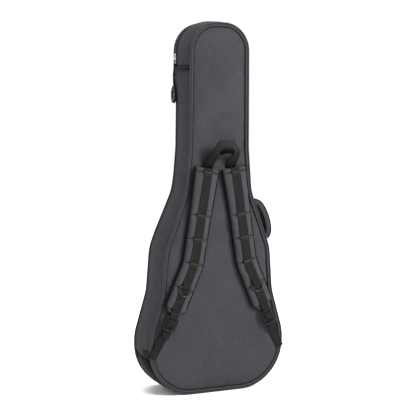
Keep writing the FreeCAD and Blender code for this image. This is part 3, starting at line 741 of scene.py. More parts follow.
def wrap_piece(name, where, profile, material, around=False):
    """A closed piece round the bag's outline with one profile."""
    return closed_piece(name, bag.wrapped(where, profile), material, around=around)


left_zip_end = bag.station(ZIP_END, True)
ALL_ROUND = bag.all_round(6 * MM, finer_at=YOKE)
zip_shift = -LID_RIM - LID_GAP

zip_side = stations(bag.station(GUSSET_LOW, False), left_zip_end, 6 * MM)
zip_side_grid = bag.wrapped(zip_side, gusset_profile(GUSSET_BACK, zip_shift - 5.6 * MM))
zip_side_grid = waved(zip_side_grid, zip_side, [0, -1, -2, -3])
zip_gusset = closed_piece("gusset_skin_zip_side", zip_side_grid, SHELL_CLOTH)
place(zip_gusset, "shell", "shell_fabric", "gusset_zip_side")


def hinge_skin():
    """The plain side of the bag, where the cloth bends as the lid opens: one piece to each run."""
    breaks = [ZIP_END] + [z for _, z, radius in reversed(FRONT_CORNERS) if radius] + [GUSSET_LOW]
    for number, (high, low) in enumerate(zip(breaks, breaks[1:])):
        where = stations(bag.station(high, True), bag.station(low, True), 5 * MM)
        profile = gusset_profile(GUSSET_BACK, -0.6 * MM, count=25)
        grid = waved(bag.wrapped(where, lambda z: profile(z)[:-2]), where, [0, -1])
        piece = face_outward(grid_piece(f"gusset_skin_hinge_{number + 1}", grid, SHELL_CLOTH))
        if piece.data.polygons[0].normal.x > 0:
            piece.data.flip_normals()
        thicken(piece, 1.2 * MM)
        corners = [(y, z) for y, z, _ in FRONT_CORNERS]
        rim_low = np.interp(low, [z for _, z in corners], [y for y, _ in corners]) - LID_RIM
        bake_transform(piece)
        if number == 0:
            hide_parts("gusset_hinge_side")


hinge_skin()


def seam_patch():
    """Doubled cross seam on the left, where the zip ends: two dark rows with cloth between."""
    low, high = CROSS_SEAM
    where = stations(bag.station(low, True), bag.station(high, True), 0.8 * MM)
    profile = gusset_profile(GUSSET_BACK + 3 * MM, zip_shift - 5.6 * MM, lift=2.0 * MM)
    grid = bag.wrapped(where, profile)
    down = np.linspace(14, 0, len(where))
    tone = np.where(down < 2.6, 1.0, np.where(down < 6.5, 0.4, np.where(down < 11, 1.0, 0.65)))
    shade = np.repeat(tone[:, None], grid.shape[1], axis=1)
    patch = closed_piece("gusset_cross_seam", grid, SHELL_CLOTH, shade=shade)
    place(patch, "shell", "binding", "gusset_seam_patch")


seam_patch()


def boot():
    """Coated cloth round the bottom, its top edges higher at the front than at the back."""
    columns = 15
    front_shift = zip_shift - 6.0 * MM
    rows = 150
    grid = np.zeros((rows, columns + 2, 3))
    for j in range(columns):
        share = j / (columns - 1)
        top = BOOT_TOP_BACK + BOOT_RISE * share
        start = bag.station(top, True) - bag.girth
        where = np.linspace(start, bag.station(top, False), rows)
        point, outward = bag.at(where)
        for i, ((x, z), (nx, nz)) in enumerate(zip(point, outward)):
            edge = -0.8 * MM * (math.exp(-share * 14) + math.exp(-(1 - share) * 14)) * min(1, z / 0.03)
            d = 2.5 * MM + gusset_puff(share, z) + edge
            y = GUSSET_BACK + share * (front_y(z) + front_shift - GUSSET_BACK)
            grid[i, j] = (x + nx * d, y, max(z + nz * d, 0.0))
    grid[:, columns] = grid[:, columns - 1] + (grid[:, 0] - grid[:, columns - 1]) * 0.01
    grid[:, columns + 1] = grid[:, 0] + (grid[:, columns - 1] - grid[:, 0]) * 0.01
    middle = np.array([0, 0, 0.3])
    for column in (columns, columns + 1):
        inward = unit((middle - grid[:, column]) * [1, 0, 1])
        grid[:, column] += inward * 2.2 * MM
    piece = closed_piece("bottom_boot_coated", grid, BOOT_CLOTH)
    place(piece, "shell", "boot", "bottom_boot")
    for side, rows_at in (("left", 1), ("right", rows - 2)):
        line = grid[rows_at, 1:columns - 1]
        out = unit(line * [1, 0, 0.3])
        row = stitches(f"boot_stitches_{side}", line + out * 0.4 * MM, out, DARK_THREAD)
        place(row, "shell", "binding")


boot()


# ---------------------------------------------------------------- panels
PANEL_STEPS = [0, 1, 2.5, 5, 9, 14, 21, 30]
SEAM_SHADE_REACH = 2.2 * MM


def panel_grid(outline, where, start, spine, height, steps):
    """Rows from the outline's edge in to a spine on the middle line; height gives y from (d, z)."""
    point, outward = outline.at(where)
    offsets = [start - step * MM for step in steps]
    inner_count = 14
    rows, distances = [], []
    for (x, z), (nx, nz) in zip(point, outward):
        row = [(x + nx * d, z + nz * d) for d in offsets]
        edge = np.array(row[-1])
        middle = np.array([0.0, np.clip(z, *spine)])
        reach = np.linalg.norm(middle - edge)
        depth = [start - d for d in offsets]
        for t in np.linspace(0, 1, inner_count + 1)[1:]:
            row.append(tuple(edge + (middle - edge) * t))
            depth.append(depth[len(offsets) - 1] + reach * t)
        rows.append([(px, height(d, pz), pz) for (px, pz), d in zip(row, depth)])
        distances.append(depth)
    return np.array(rows), np.array(distances)


def close_spine(piece):
    """Merge the points that meet on a panel's middle line."""
    shape = bmesh.new()
    shape.from_mesh(piece.data)
    bmesh.ops.remove_doubles(shape, verts=shape.verts, dist=0.15 * MM)
    shape.to_mesh(piece.data)
    shape.free()
    return piece


def panel(name, outline, where, start, spine, height, material, facing, around, waves=0.0,
          extra_shade=None, steps=PANEL_STEPS):
    """A sewn panel, with painted shade darkening its edge in the seam groove; facing is the sign of its
    outward y.
    """
    grid, distance = panel_grid(outline, where, start, spine, height, steps)
    if waves:
        lift = soft_waves(grid, waves, 9.0, 7.0) * np.clip(distance / 0.03, 0, 1)
        grid[..., 1] += lift
    # Painted shade in the sunken seam round the panel's edge.
    shade = 0.75 * np.exp(-distance / SEAM_SHADE_REACH)
    if extra_shade is not None:
        shade = shade + extra_shade(grid)
    uv = grid[..., [0, 2]]
    piece = grid_piece(name, grid, material, around=around, uv=uv, shade=shade)
    close_spine(piece)
    face_outward(piece)
    normals = np.array([p.normal.y for p in piece.data.polygons])
    if normals.mean() * facing < 0:
        piece.data.flip_normals()
    return piece


def edge_pins(piece, outline, start, width, rows=()):
    """Pins for the sewn edge of a panel and for seams across it at some heights."""
    line = outline.points
    pins = {}
    for vert in piece.data.vertices:
        gap = np.min(np.hypot(line[::4, 0] - vert.co.x, line[::4, 1] - vert.co.z))
        near = any(abs(vert.co.z - z) < 1.5 * MM for z in rows)
        if gap < abs(start) + width or near:
            pins[vert.index] = 1.0
    return pins


PANEL_EDGE = -10.5 * MM
SPINE = (0.175, 0.985)


def back_height(d, z):
    """Back panel: sunk at its seams, crowned between them."""
    seam = math.exp(-((z - YOKE) / (3 * MM)) ** 2)
    return BACK + 1.2 * MM - 4.2 * MM * (1 - math.exp(-d / 0.011)) * (1 - 0.5 * seam)


def yoke_shade(grid):
    """Shade in the seam across the back."""
    return 0.6 * np.exp(-((grid[..., 2] - YOKE) / (2.2 * MM)) ** 2)


seam_at = bag.station(YOKE, False)
upper_part = ALL_ROUND[(ALL_ROUND >= seam_at - 1e-6) & (ALL_ROUND <= bag.girth - seam_at + 1e-6)]
lower_part = np.sort(np.concatenate([ALL_ROUND[ALL_ROUND <= seam_at + 1e-6],
                                     ALL_ROUND[ALL_ROUND >= bag.girth - seam_at - 1e-6] - bag.girth]))
for word, where in (("upper", upper_part), ("lower", lower_part)):
    cloth = panel(f"back_cloth_{word}", bag, where, PANEL_EDGE, SPINE, back_height, SHELL_CLOTH, -1,
                  around=False, waves=1.2 * MM, extra_shade=yoke_shade)
    simulate(cloth, edge_pins(cloth, bag, PANEL_EDGE, 1.2 * MM, rows=[YOKE]), pressure=0.25, cap=3 * MM,
             shrink=-0.006, frames=14)
    thicken(cloth, 1.4 * MM)
    place(cloth, "shell", "shell_fabric", f"back_panel_{word}")


def front_height(d, z):
    """Front panel: sunk at its seam, gently crowned above the pocket."""
    return front_y(z) - 1.2 * MM + 4.0 * MM * (1 - math.exp(-d / 0.011)) * np.clip((z - 0.43) / 0.05, 0.15, 1)


cloth = panel("front_cloth", bag, ALL_ROUND, PANEL_EDGE, SPINE, front_height, SHELL_CLOTH, 1, around=True,
              waves=1.2 * MM)
behind_pocket = {v.index: 1.0 for v in cloth.data.vertices if v.co.z < 0.435}
simulate(cloth, edge_pins(cloth, bag, PANEL_EDGE, 1.2 * MM) | behind_pocket, pressure=0.25, cap=3 * MM,
         shrink=-0.006, frames=14)
thicken(cloth, 1.4 * MM)
place(cloth, "lid", "shell_fabric", "front_panel")


# ---------------------------------------------------------------- edges: piping, binding, band
def edge_set(word, body, slot_node, y_at, sign):
    """Piping at the corner, a recessed dark seam and a narrow band of cloth inside it."""
    def seam(z):
        y = y_at(z)
        return [(0.2 * MM, y - sign * 0.2 * MM), (-0.5 * MM, y - sign * 2.2 * MM),
                (-12.5 * MM, y - sign * 2.2 * MM), (-12.5 * MM, y - sign * 0.9 * MM),
                (-11.0 * MM, y - sign * 0.4 * MM), (-2.5 * MM, y - sign * 0.2 * MM)]

    def piping(z):
        return bead((-0.4 * MM, y_at(z) + sign * 0.5 * MM), 2.3 * MM, 12)

    def band(z):
        y = y_at(z)
        low, high = -9.9 * MM, -3.1 * MM
        top = [(low + (high - low) * t, y + sign * (0.4 + 1.5 * math.sin(math.pi * t) ** 0.5) * MM)
               for t in np.linspace(0, 1, 9)]
        return top + [(high, y - sign * 0.6 * MM), (low, y - sign * 0.6 * MM)]

    dark = wrap_piece(f"{word}_edge_seam", ALL_ROUND, seam, BINDING, around=True)
    place(dark, body, "binding", slot_node)
    roll = wrap_piece(f"{word}_edge_piping", ALL_ROUND, piping, SHELL_CLOTH, around=True)
    place(roll, body, "shell_fabric")
    strip = wrap_piece(f"{word}_edge_band", ALL_ROUND, band, SHELL_CLOTH, around=True)
    place(strip, body, "shell_fabric")
    where = np.append(ALL_ROUND, ALL_ROUND[0] + bag.girth)
    line = bag.wrapped(where, lambda z: [(-4.3 * MM, y_at(z) + sign * 1.6 * MM)])[:, 0]
    row = stitches(f"{word}_edge_stitches", line, np.array([[0, sign, 0]]), GREY_THREAD)
    place(row, body, "binding")


edge_set("back", "shell", "back_binding", lambda z: BACK - 1.2 * MM, -1)
edge_set("front", "lid", "front_binding", lambda z: front_y(z) + 1.2 * MM, 1)


def yoke_band():
    """Narrow band sewn over the seam from which the shoulder straps hang."""
    half_width = bag.at(np.array([bag.station(YOKE, False)]))[0][0, 0] - 11 * MM
    path = np.array([(x, BACK - 0.4 * MM, YOKE) for x in np.linspace(-half_width, half_width, 60)])
    grid = sweep(path, [(0, 0, 1)] * len(path), [(0, -1, 0)] * len(path), flat_profile(12 * MM, 1.7 * MM))
    piece = closed_piece("yoke_band_cloth", grid, SHELL_CLOTH)
    place(piece, "shell", "binding", "back_yoke_band")
    rows = [stitches("row", path + [0, -1.9 * MM, dz * MM], TO_BACK, DARK_THREAD)
            for dz in (-4, 4)]
    place(join("yoke_stitches", rows), "shell", "binding")


yoke_band()


# ---------------------------------------------------------------- main zip
ZIP_START = 0.112
COIL_TURN = 2.0 * MM
zip_where = stations(bag.station(ZIP_START, True) - bag.girth, left_zip_end, 6 * MM)


def strip(name, where, low_d, high_d, shift_low, shift_high, material, body, slot, *nodes):
    """A flat tape round the bag between two distances from the outline and two shifts in y."""
    def profile(z):
        y = front_y(z)
        return [(low_d, y + shift_low), (high_d, y + shift_low), (high_d, y + shift_high),
                (low_d, y + shift_high)]
    piece = wrap_piece(name, where, profile, material)
    return place(piece, body, slot, *nodes)


strip("zip_tape_shell_cloth", zip_where, -0.5 * MM, 1.4 * MM, zip_shift - 6 * MM, zip_shift + 0.1 * MM,
      ZIP_TAPE, "shell", "zip_tape", "zip_tape_shell")
strip("zip_tape_lid_cloth", zip_where, -0.5 * MM, 1.4 * MM, -LID_RIM, -LID_RIM + 6 * MM, ZIP_TAPE,
      "lid", "zip_tape", "zip_tape_lid")


def coil(name, outline, start, end, distance, y_at, radius):
    """Half of a zip's coil: a ridged bead that shows each turn of the nylon."""
    point, outward = outline.at(stations(start, end, COIL_TURN / 4))
    rows = []
    for i, ((x, z), (nx, nz)) in enumerate(zip(point, outward)):
        size = (1.0 + 0.35 * math.cos(i * math.pi / 2)) * radius
        section = bead((distance, y_at(z)), size, 8)
        rows.append([(x + nx * d, y, max(z + nz * d, 0.0)) for d, y in section])
    return closed_piece(name, rows, ZIP_COIL)


for body, shift in (("shell", zip_shift - 0.9 * MM), ("lid", -LID_RIM + 0.9 * MM)):
    half_coil = coil(f"zip_coil_{body}_turns", bag, zip_where[0], zip_where[-1], 1.9 * MM,
                     lambda z: front_y(z) + shift, 1.0 * MM)
    place(half_coil, body, "zip_coil", f"zip_coil_{body}")


def lid_gusset_profile(z):
    """Cloth of the lid's narrow side, above the zip."""
    y = front_y(z)
    return [(-2 * MM, y - LID_RIM), (0, y - LID_RIM), (0.5 * MM, y - 9 * MM), (1.0 * MM, y - 6 * MM),
            (0.5 * MM, y - 3 * MM), (-0.5 * MM, y - 0.5 * MM), (-2 * MM, y - 0.5 * MM)]


place(wrap_piece("lid_gusset_skin", zip_where, lid_gusset_profile, SHELL_CLOTH), "lid", "shell_fabric",
      "lid_gusset")


def lid_boot_profile(z):
    """Coated cloth over the lid's side, below the boot's top."""
    y = front_y(z)
    return [(0, y - 9.6 * MM), (1.8 * MM, y - 9.6 * MM), (2.2 * MM, y - 6 * MM), (1.6 * MM, y - 3 * MM),
            (0.6 * MM, y - 0.9 * MM), (-1 * MM, y - 0.9 * MM)]


def zip_start_profile(z):
    """Coated cloth over the lower end of the zip."""
    y = front_y(z)
    return [(0, y - 24 * MM), (2.7 * MM, y - 24 * MM), (3.3 * MM, y - 20 * MM), (3.5 * MM, y - 15 * MM),
            (3.0 * MM, y - 9.0 * MM), (0, y - 9.0 * MM)]


boot_round = stations(bag.station(0.121, True) - bag.girth, bag.station(0.121, False), 5 * MM)
place(wrap_piece("lid_boot_coated", boot_round, lid_boot_profile, BOOT_CLOTH), "lid", "boot")
zip_start = stations(bag.station(0.122, True), bag.station(0.106, True), 3 * MM)
place(wrap_piece("zip_start_patch", zip_start, zip_start_profile, BOOT_CLOTH), "shell", "boot")


# ---------------------------------------------------------------- linings
QUILT_PITCH = 45 * MM


def quilting(x, z):
    """Diamond quilting: 0 on the stitch lines, 1 between them."""
    one = abs(math.sin(math.pi * (x + z) / QUILT_PITCH))
    other = abs(math.sin(math.pi * (x - z) / QUILT_PITCH))
    return (one * other) ** 0.5


def rim_profile(z):
    """Gusset padding with its lining rolled over the rim."""
    y = front_y(z) - LID_RIM - LID_GAP
    return [(-WALL - 1.2 * MM, BACK + WALL), (-WALL - 1.8 * MM, (BACK + WALL + y) / 2),
            (-WALL - 1.2 * MM, y - 5 * MM), (-WALL, y - 1.4 * MM), (-9 * MM, y - 0.2 * MM),
            (-5 * MM, y - 0.2 * MM), (-2.4 * MM, y - 1.2 * MM), (-2.2 * MM, BACK + WALL)]


place(wrap_piece("gusset_lining_cloth", ALL_ROUND, rim_profile, LINING_CLOTH, around=True), "shell", "lining",
      "gusset_foam", "gusset_lining")


def back_lining_height(d, z):
    """Lining of the back, sunk a little at its edge."""
    return BACK + WALL + 1.2 * MM - 0.8 * MM * math.exp(-d / 0.006)


lining = panel("back_lining_quilted", bag, ALL_ROUND, -WALL - 0.2 * MM, SPINE, back_lining_height,
               LINING_CLOTH, 1, around=True)
for vert in lining.data.vertices:
    vert.co.y += 2.2 * MM * (quilting(vert.co.x, vert.co.z) - 0.6) * (abs(vert.co.z - 0.73) > 0.04)
thicken(lining, 6 * MM)
place(lining, "shell", "lining", "back_lining", "back_foam")


def lid_lining_height(d, z):
    """Lining of the lid, rising from the rim over its foam."""
    y = front_y(z)
    return y - 3 * MM - 10.2 * MM * min(1.0, (d / (4 * MM)) ** 0.5)


lining = panel("lid_lining_quilted", bag, ALL_ROUND, -2.4 * MM, SPINE, lid_lining_height, LINING_CLOTH, -1,
               around=True)
for vert in lining.data.vertices:
    inside = min(1.0, max(0.0, (front_y(vert.co.z) - 10 * MM - vert.co.y) / (2 * MM)))
    vert.co.y -= 1.6 * MM * (quilting(vert.co.x, vert.co.z) - 0.7) * inside
thicken(lining, 1.2 * MM)
place(lining, "lid", "lining", "front_lining", "front_foam")


# ================================================================ front pocket
POCKET_TOP = 0.430
POCKET_INSET = 20 * MM
POCKET_BACK = 0.060
POCKET_FRONT = 0.090
COVER_BACK = 0.0904
POCKET_ZIP_LOW = 0.372


def pocket_corners():
    """The bag's own outline, inset, and closed by a straight top edge."""
    left = [(-x, z, radius) for x, z, radius in reversed(BAG_CORNERS)]
    ring = grown(BAG_CORNERS + left, -POCKET_INSET)
    (low_x, low_z, _), (high_x, high_z, _) = ring[2], ring[3]
    x = low_x + (high_x - low_x) * (POCKET_TOP - low_z) / (high_z - low_z)
    return [tuple(corner) for corner in ring[:3]] + [(x, POCKET_TOP, 18 * MM)]


pocket = Outline(pocket_corners())
POCKET_ROUND = pocket.all_round(5 * MM)
POCKET_SPINE = (0.165, 0.345)


def pocket_side():
    """The pocket's gusset, a little swollen, and the piping round its base."""
    def profile(z):
        depth = POCKET_FRONT - POCKET_BACK
        pairs = []
        for share in np.linspace(0, 1, 9):
            swell = 2.2 * MM * 4 * share * (1 - share) * min(1.0, z / 0.08)
            pairs.append((swell - 1.5 * MM * math.exp(-share * 10),
                          POCKET_BACK + 0.4 * MM + share * depth * 0.985))
        return pairs + [(-2 * MM, POCKET_FRONT - 0.2 * MM), (-2 * MM, POCKET_BACK + 0.4 * MM)]
    grid = pocket.wrapped(POCKET_ROUND, profile)
    piece = closed_piece("pocket_side_cloth", grid, SHELL_CLOTH, around=True)
    place(piece, "lid", "shell_fabric", "pocket_gusset")
    base = pocket.wrapped(POCKET_ROUND, lambda z: bead((0.4 * MM, POCKET_BACK + 1.0 * MM), 1.7 * MM, 8))
    piece = closed_piece("pocket_base_piping", base, BINDING, around=True)
    place(piece, "lid", "binding")


def pocket_cover():
    """The pocket's front: crowned cloth, its lining, the binding round its edge and a row of stitches."""
    def height(d, z):
        return COVER_BACK + 2.6 * MM + 4.6 * MM * (1 - math.exp(-d / 0.010)) * min(1.0, 0.35 + z / 0.3)

    def back(d, z):
        return COVER_BACK + 0.3 * MM

    front = panel("pocket_cover_cloth", pocket, POCKET_ROUND, -4.6 * MM, POCKET_SPINE, height, SHELL_CLOTH, 1,
                  around=True, waves=1.4 * MM, steps=PANEL_STEPS[:5])
    simulate(front, edge_pins(front, pocket, -4.6 * MM, 1.2 * MM), pressure=0.35, cap=3.5 * MM, shrink=-0.008,
             frames=14)
    inside = panel("pocket_cover_inside", pocket, POCKET_ROUND, -2 * MM, POCKET_SPINE, back, LINING_CLOTH, -1,
                   around=True, steps=PANEL_STEPS[:5])
    thicken(front, 1.5 * MM)
    place(front, "pocket_cover", "shell_fabric", "pocket_front")
    thicken(inside, 1.2 * MM)
    place(inside, "pocket_cover", "lining")

    def trim(z):
        outer = [(2.0 * MM * math.cos(a), COVER_BACK + 3.1 * MM + 3.0 * MM * math.sin(a))
                 for a in np.linspace(-math.pi / 2, math.pi / 2, 9)]
        return outer + [(-5 * MM, COVER_BACK + 4.4 * MM), (-5 * MM, COVER_BACK + 0.4 * MM)]
    grid = pocket.wrapped(POCKET_ROUND, trim)
    piece = closed_piece("pocket_edge_binding", grid, PIPING, around=True)
    place(piece, "pocket_cover", "binding", "pocket_binding")
    where = np.append(POCKET_ROUND, POCKET_ROUND[0] + pocket.girth)
    line = pocket.wrapped(where, lambda z: [(-3.2 * MM, COVER_BACK + 5.2 * MM)])[:, 0]
    row = stitches("pocket_edge_stitches", line, TO_FRONT, DARK_THREAD)
    place(row, "pocket_cover", "binding")


def pocket_zip():
    """Tape and coil over the pocket's top, down to the same height on both sides."""
    low = pocket.station(POCKET_ZIP_LOW, False)
    high = pocket.girth - low
    profile = [(-0.4 * MM, POCKET_FRONT - 8 * MM), (1.0 * MM, POCKET_FRONT - 8 * MM),
               (1.0 * MM, POCKET_FRONT), (-0.4 * MM, POCKET_FRONT)]
    grid = pocket.wrapped(stations(low, high, 4 * MM), profile)
    tape = closed_piece("pocket_zip_tape_cloth", grid, ZIP_TAPE)
    place(tape, "lid", "zip_tape", "pocket_zip_tape")
    turns = coil("pocket_zip_turns", pocket, low, high, 0.9 * MM, lambda z: POCKET_FRONT - 1.1 * MM, 0.9 * MM)
    place(turns, "lid", "zip_coil")


pocket_side()
pocket_cover()
pocket_zip()


# ================================================================ moulded and metal parts
def bar(start, end, wide, thick, across, ends=0.35, material=PLASTIC):
    """A rounded bar from start to end: a superellipse section that narrows at both ends."""
    start, end, across = Vector(start), Vector(end), Vector(across).normalized()
    along = (end - start).normalized()
    outward = along.cross(across).normalized()
    rows = []
    taper = [(0, 0.55), (0.25, 0.86), (1, 1)]
    length = (end - start).length
    cap = min(wide, thick) * ends
    steps = [(t * cap, size) for t, size in taper] + [(length - t * cap, size) for t, size in reversed(taper)]
    for distance, size in steps:
        ring = []
        for a in circle(14):
            c, s = math.cos(a), math.sin(a)
            u = math.copysign(abs(c) ** 0.55, c) * wide / 2
            v = math.copysign(abs(s) ** 0.55, s) * thick / 2
            shrink = cap * (1 - size)
            u -= math.copysign(shrink, u) * min(1, abs(u) / (wide / 2))
            v -= math.copysign(shrink, v) * min(1, abs(v) / (thick / 2))
            ring.append(tuple(start + along * distance + across * u + outward * v))
        rows.append(ring)
    return grid_piece("bar", rows, material, ring=True, caps=True)


def tube(name, points, radius, material, closed=False, around_axis=(0, 1, 0)):
    """A round rod along a line."""
    points = np.asarray(points, float)
    if closed:
        tangent = unit(np.roll(points, -1, axis=0) - np.roll(points, 1, axis=0))
    else:
        tangent = unit(np.gradient(points, axis=0))
    side = unit(np.cross(tangent, np.asarray(around_axis, float)))
    other = np.cross(side, tangent)
    rows = [[p + radius * (math.cos(a) * s + math.sin(a) * o) for a in circle(10)]
            for p, s, o in zip(points, side, other)]
    return closed_piece(name, rows, material, around=closed)


def smooth_line(points, step=1 * MM, rounds=3):
    """Chaikin's corner cutting: a soft line near a few points."""
    points = np.asarray(points, float)
    for _ in range(rounds):
        cut = [points[0]]
        for a, b in zip(points, points[1:]):
            cut += [a * 0.75 + b * 0.25, a * 0.25 + b * 0.75]
        cut.append(points[-1])
        points = np.array(cut)
    return resample(points, np.arange(0, lengths(points)[-1], step))


# ================================================================ shoulder straps
STRAP_LINE = [(0.0424, YOKE, 0), (0.086, 0.388, 0.150), (0.148, 0.244, 0)]
STRAP_HALF = 36 * MM
STRAP_FLARE = 5 * MM
FLARE_RUN = 0.15
STRAP_INNER = BACK - 6.6 * MM
STRAP_FACE = -0.0775
TACKS = [0.653, 0.529, 0.461, 0.390, 0.318, 0.256]
END_RADIUS = 30 * MM
RING_CENTRE = np.array(STRAP_LINE[1][:2])
RING_CENTRE += unit(np.array(STRAP_LINE[2][:2]) - RING_CENTRE) * 72 * MM
SEAM_END = (0.2075, 0.121)
ANCHOR_HEIGHTS = (0.1185, 0.1400)
ANCHOR_DEPTHS = (-0.0535, -0.0225)
WEB_HALF = 14 * MM
NARROW_HALF = 12.5 * MM
LOCK_DROP = 26 * MM


class Strap:
    """One shoulder strap: places on it from a length down it, a sideways and an outward distance."""

    def __init__(self, side, word):
        self.side, self.word = side, word
        self.line = rounded(STRAP_LINE)
        self.total = lengths(self.line)[-1]
        self.body = f"strap_{word}"
        self.tacks = [self.station(z) for z in TACKS]

    def station(self, z):
        """Length down the strap at a height."""
        return float(np.interp(-z, -self.line[:, 1], lengths(self.line)))

    def frame(self, where):
        """Point, downward direction and sideways direction in the back's plane."""
        where = np.atleast_1d(where)
        point = resample(self.line, np.clip(where, 0, self.total))
        within = np.clip(where, 1 * MM, self.total - 1 * MM)
        along = unit(resample(self.line, within + 1 * MM) - resample(self.line, within - 1 * MM))
        point = point + along * np.maximum(where - self.total, 0)[:, None]
        sideways = np.stack([-along[:, 1], along[:, 0]], axis=1)
        return point, along, sideways

    def at(self, where, a, y):
        """A point at a length down the strap, a distance sideways and a y."""
        point, _, sideways = self.frame(where)
        p = point[0] + sideways[0] * a
        return np.array([self.side * p[0], y, p[1]])

    def across(self, where):
        """The sideways direction in space at lengths down the strap."""
        return np.array([(self.side * s[0], 0, s[1]) for s in self.frame(where)[2]])

    def half_width(self, where):
        """Half the pad's width, rounded off at its lower end."""
        left = self.total - where
        if left >= END_RADIUS:
            return STRAP_HALF + STRAP_FLARE * max(0.0, 1 - where / FLARE_RUN)
        reach = max(0.0, END_RADIUS ** 2 - (END_RADIUS - left) ** 2)
        return STRAP_HALF - END_RADIUS + math.sqrt(reach)

    def quilt(self, where):
        """Nearness to a quilting row, from 0 to 1."""
        return max(math.exp(-((where - tack) / (3.5 * MM)) ** 2) for tack in self.tacks)


def strap_pad(strap):
    """Foam pad: two faces of cloth, sewn along quilting rows and at the bound edge, then swollen."""
    columns = np.linspace(-1, 1, 19)
    rows_at = np.unique(np.concatenate([np.linspace(0, strap.total - 0.3 * MM, 104)] +
                                       [tack + np.array([-3, 0, 3]) * MM for tack in strap.tacks]))
    rows_at = rows_at[rows_at <= strap.total - 0.3 * MM]
    middle = (STRAP_INNER + STRAP_FACE) / 2
    grid, shade, pins, count = [], [], {}, 0
    for where in rows_at:
        half = strap.half_width(where) - 2.5 * MM
        half = max(half, 1.5 * MM)
        quilt = strap.quilt(where)
        end = min(1.0, (strap.total - where) / 0.018) ** 0.5
        row, row_shade = [], []
        for face in (1, -1):
            for column in columns[1:-1][::face] if face == 1 else columns[::-1]:
                u = abs(column)
                swell = (1 - u ** 6) ** 0.5 * (1 - 0.55 * quilt) * (0.35 + 0.65 * end)
                reach = (STRAP_FACE - middle) if face == 1 else (STRAP_INNER - middle)
                y = middle + reach * swell
                row.append(strap.at(where, column * half, y))
                # Painted shade in the quilting creases and along the pad's rolled edge.
                row_shade.append(0.5 * quilt ** 3 + 0.4 * (u > 0.93))
                if u > 0.9 or quilt > 0.98:
                    pins[count] = 1.0
                count += 1
        grid.append(row)
        shade.append(row_shade)
    for index in range(len(grid[0])):
        pins[index] = 1.0
        pins[count - 1 - index] = 1.0
    uv = [[(j * 4 * MM, where) for j in range(len(row))] for row, where in zip(grid, rows_at)]
    piece = closed_piece(f"strap_pad_{strap.word}_cloth", grid, STRAP_CLOTH, uv=uv, shade=shade)
    simulate(piece, pins, pressure=2.2, cap=3 * MM, shrink=-0.02, frames=16)
    subdivided(piece)
    # Faces turned toward the bag take the dark mesh cloth: the mesh backing, and painted shade on the lower
    # part of the pad's wall.
    piece.data.materials.append(MESH_CLOTH)
    for polygon in piece.data.polygons:
        polygon.material_index = int(polygon.normal.y > 0.4)
    return place(piece, strap.body, "shell_fabric", f"strap_pad_{strap.word}")


def face_line(strap, points, where_list):
    """Outermost y of the pad's face near the middle line, at each place down the strap."""
    result = []
    for where in where_list:
        centre = strap.at(where, 0, 0)
        near = np.hypot(points[:, 0] - centre[0], points[:, 2] - centre[2]) < 9 * MM
        outer = points[near][:, 1].min() if near.any() else STRAP_FACE
        result.append(outer)
    return np.convolve(np.pad(result, 2, mode="edge"), np.ones(5) / 5, mode="valid")


def strap_edge(strap):
    """Binding round the pad's wall, down one side, round the end and up the other."""
    middle = (STRAP_INNER + STRAP_FACE) / 2 + 2.6 * MM
    inset = 2.4 * MM
    flat = STRAP_HALF - END_RADIUS
    down = np.linspace(0, strap.total - END_RADIUS, 90)
    right = [strap.at(w, strap.half_width(w) - inset, middle) for w in down]
    left = [strap.at(w, inset - strap.half_width(w), middle) for w in down[::-1]]
    bottom = []
    for sign in (1, -1):
        quarter = np.linspace(90, 0, 24)[1:] * DEG
        for angle in quarter[::sign]:
            a = sign * (flat + (END_RADIUS - inset) * math.sin(angle))
            below = (END_RADIUS - inset) * math.cos(angle)
            bottom.append(strap.at(strap.total - END_RADIUS + below, a, middle))
    path = np.array(right + bottom + left)
    path = smooth_line(path, 3 * MM, 1)
    tangent = unit(np.gradient(path, axis=0))
    side = unit(np.cross(tangent, [0, 1, 0]))
    section = [(1.9 * MM * math.cos(a), 5.2 * MM * math.sin(a)) for a in circle(12)]
    grid = sweep(path, side, [(0, -1, 0)] * len(path), section)
    piece = closed_piece(f"strap_edge_{strap.word}_tape", grid, BINDING)
    return place(piece, strap.body, "binding", f"strap_binding_{strap.word}")


def webbing(name, path, across, half, thick, loops=True):
    """Webbing along a path, its outer face to the back, at every point or only where a loop starts."""
    path = np.asarray(path)
    outward = unit(np.cross(unit(np.gradient(path, axis=0)), across))
    turned = outward[:1, 1:2] > 0 if loops else outward[:, 1:2] > 0
    grid = sweep(path, across, np.where(turned, -outward, outward), flat_profile(2 * half, thick))
    return closed_piece(name, grid, WEBBING)


def strap_weave(name, strap, line, half, thick, loops=True):
    """Webbing along a line of (length down the strap, y)."""
    path = [strap.at(b, 0, y) for b, y in line]
    return webbing(name, path, strap.across([b for b, _ in line]), half, thick, loops)


def bar_tack(strap, where, y, half=NARROW_HALF, height=3.0 * MM, rungs=13):
    """A dense row of thread across the webbing: two edges and slanting rungs between them."""
    pieces = []
    for edge in (-1, 1):
        points = [strap.at(where + edge * height / 2 * 0.75, a, y) for a in np.linspace(-half, half, 30)]
        pieces.append(stitches("tack", points, TO_BACK, TACK_THREAD_AND_RIB_HIGHLIGHT, length=1.5 * MM, gap=0.25 * MM,
                               radius=0.4 * MM))
    for number in range(rungs):
        a = -half + 2 * half * (number + 0.5) / rungs
        slant = 0.7 * MM
        points = [strap.at(where - height / 2, a - slant, y), strap.at(where + height / 2, a + slant, y)]
        points = resample(np.array(points), np.linspace(0, height, 5))
        pieces.append(stitches("tack", points, TO_BACK, TACK_THREAD_AND_RIB_HIGHLIGHT, length=height * 0.8,
                               gap=0.1 * MM, radius=0.42 * MM))
    return pieces


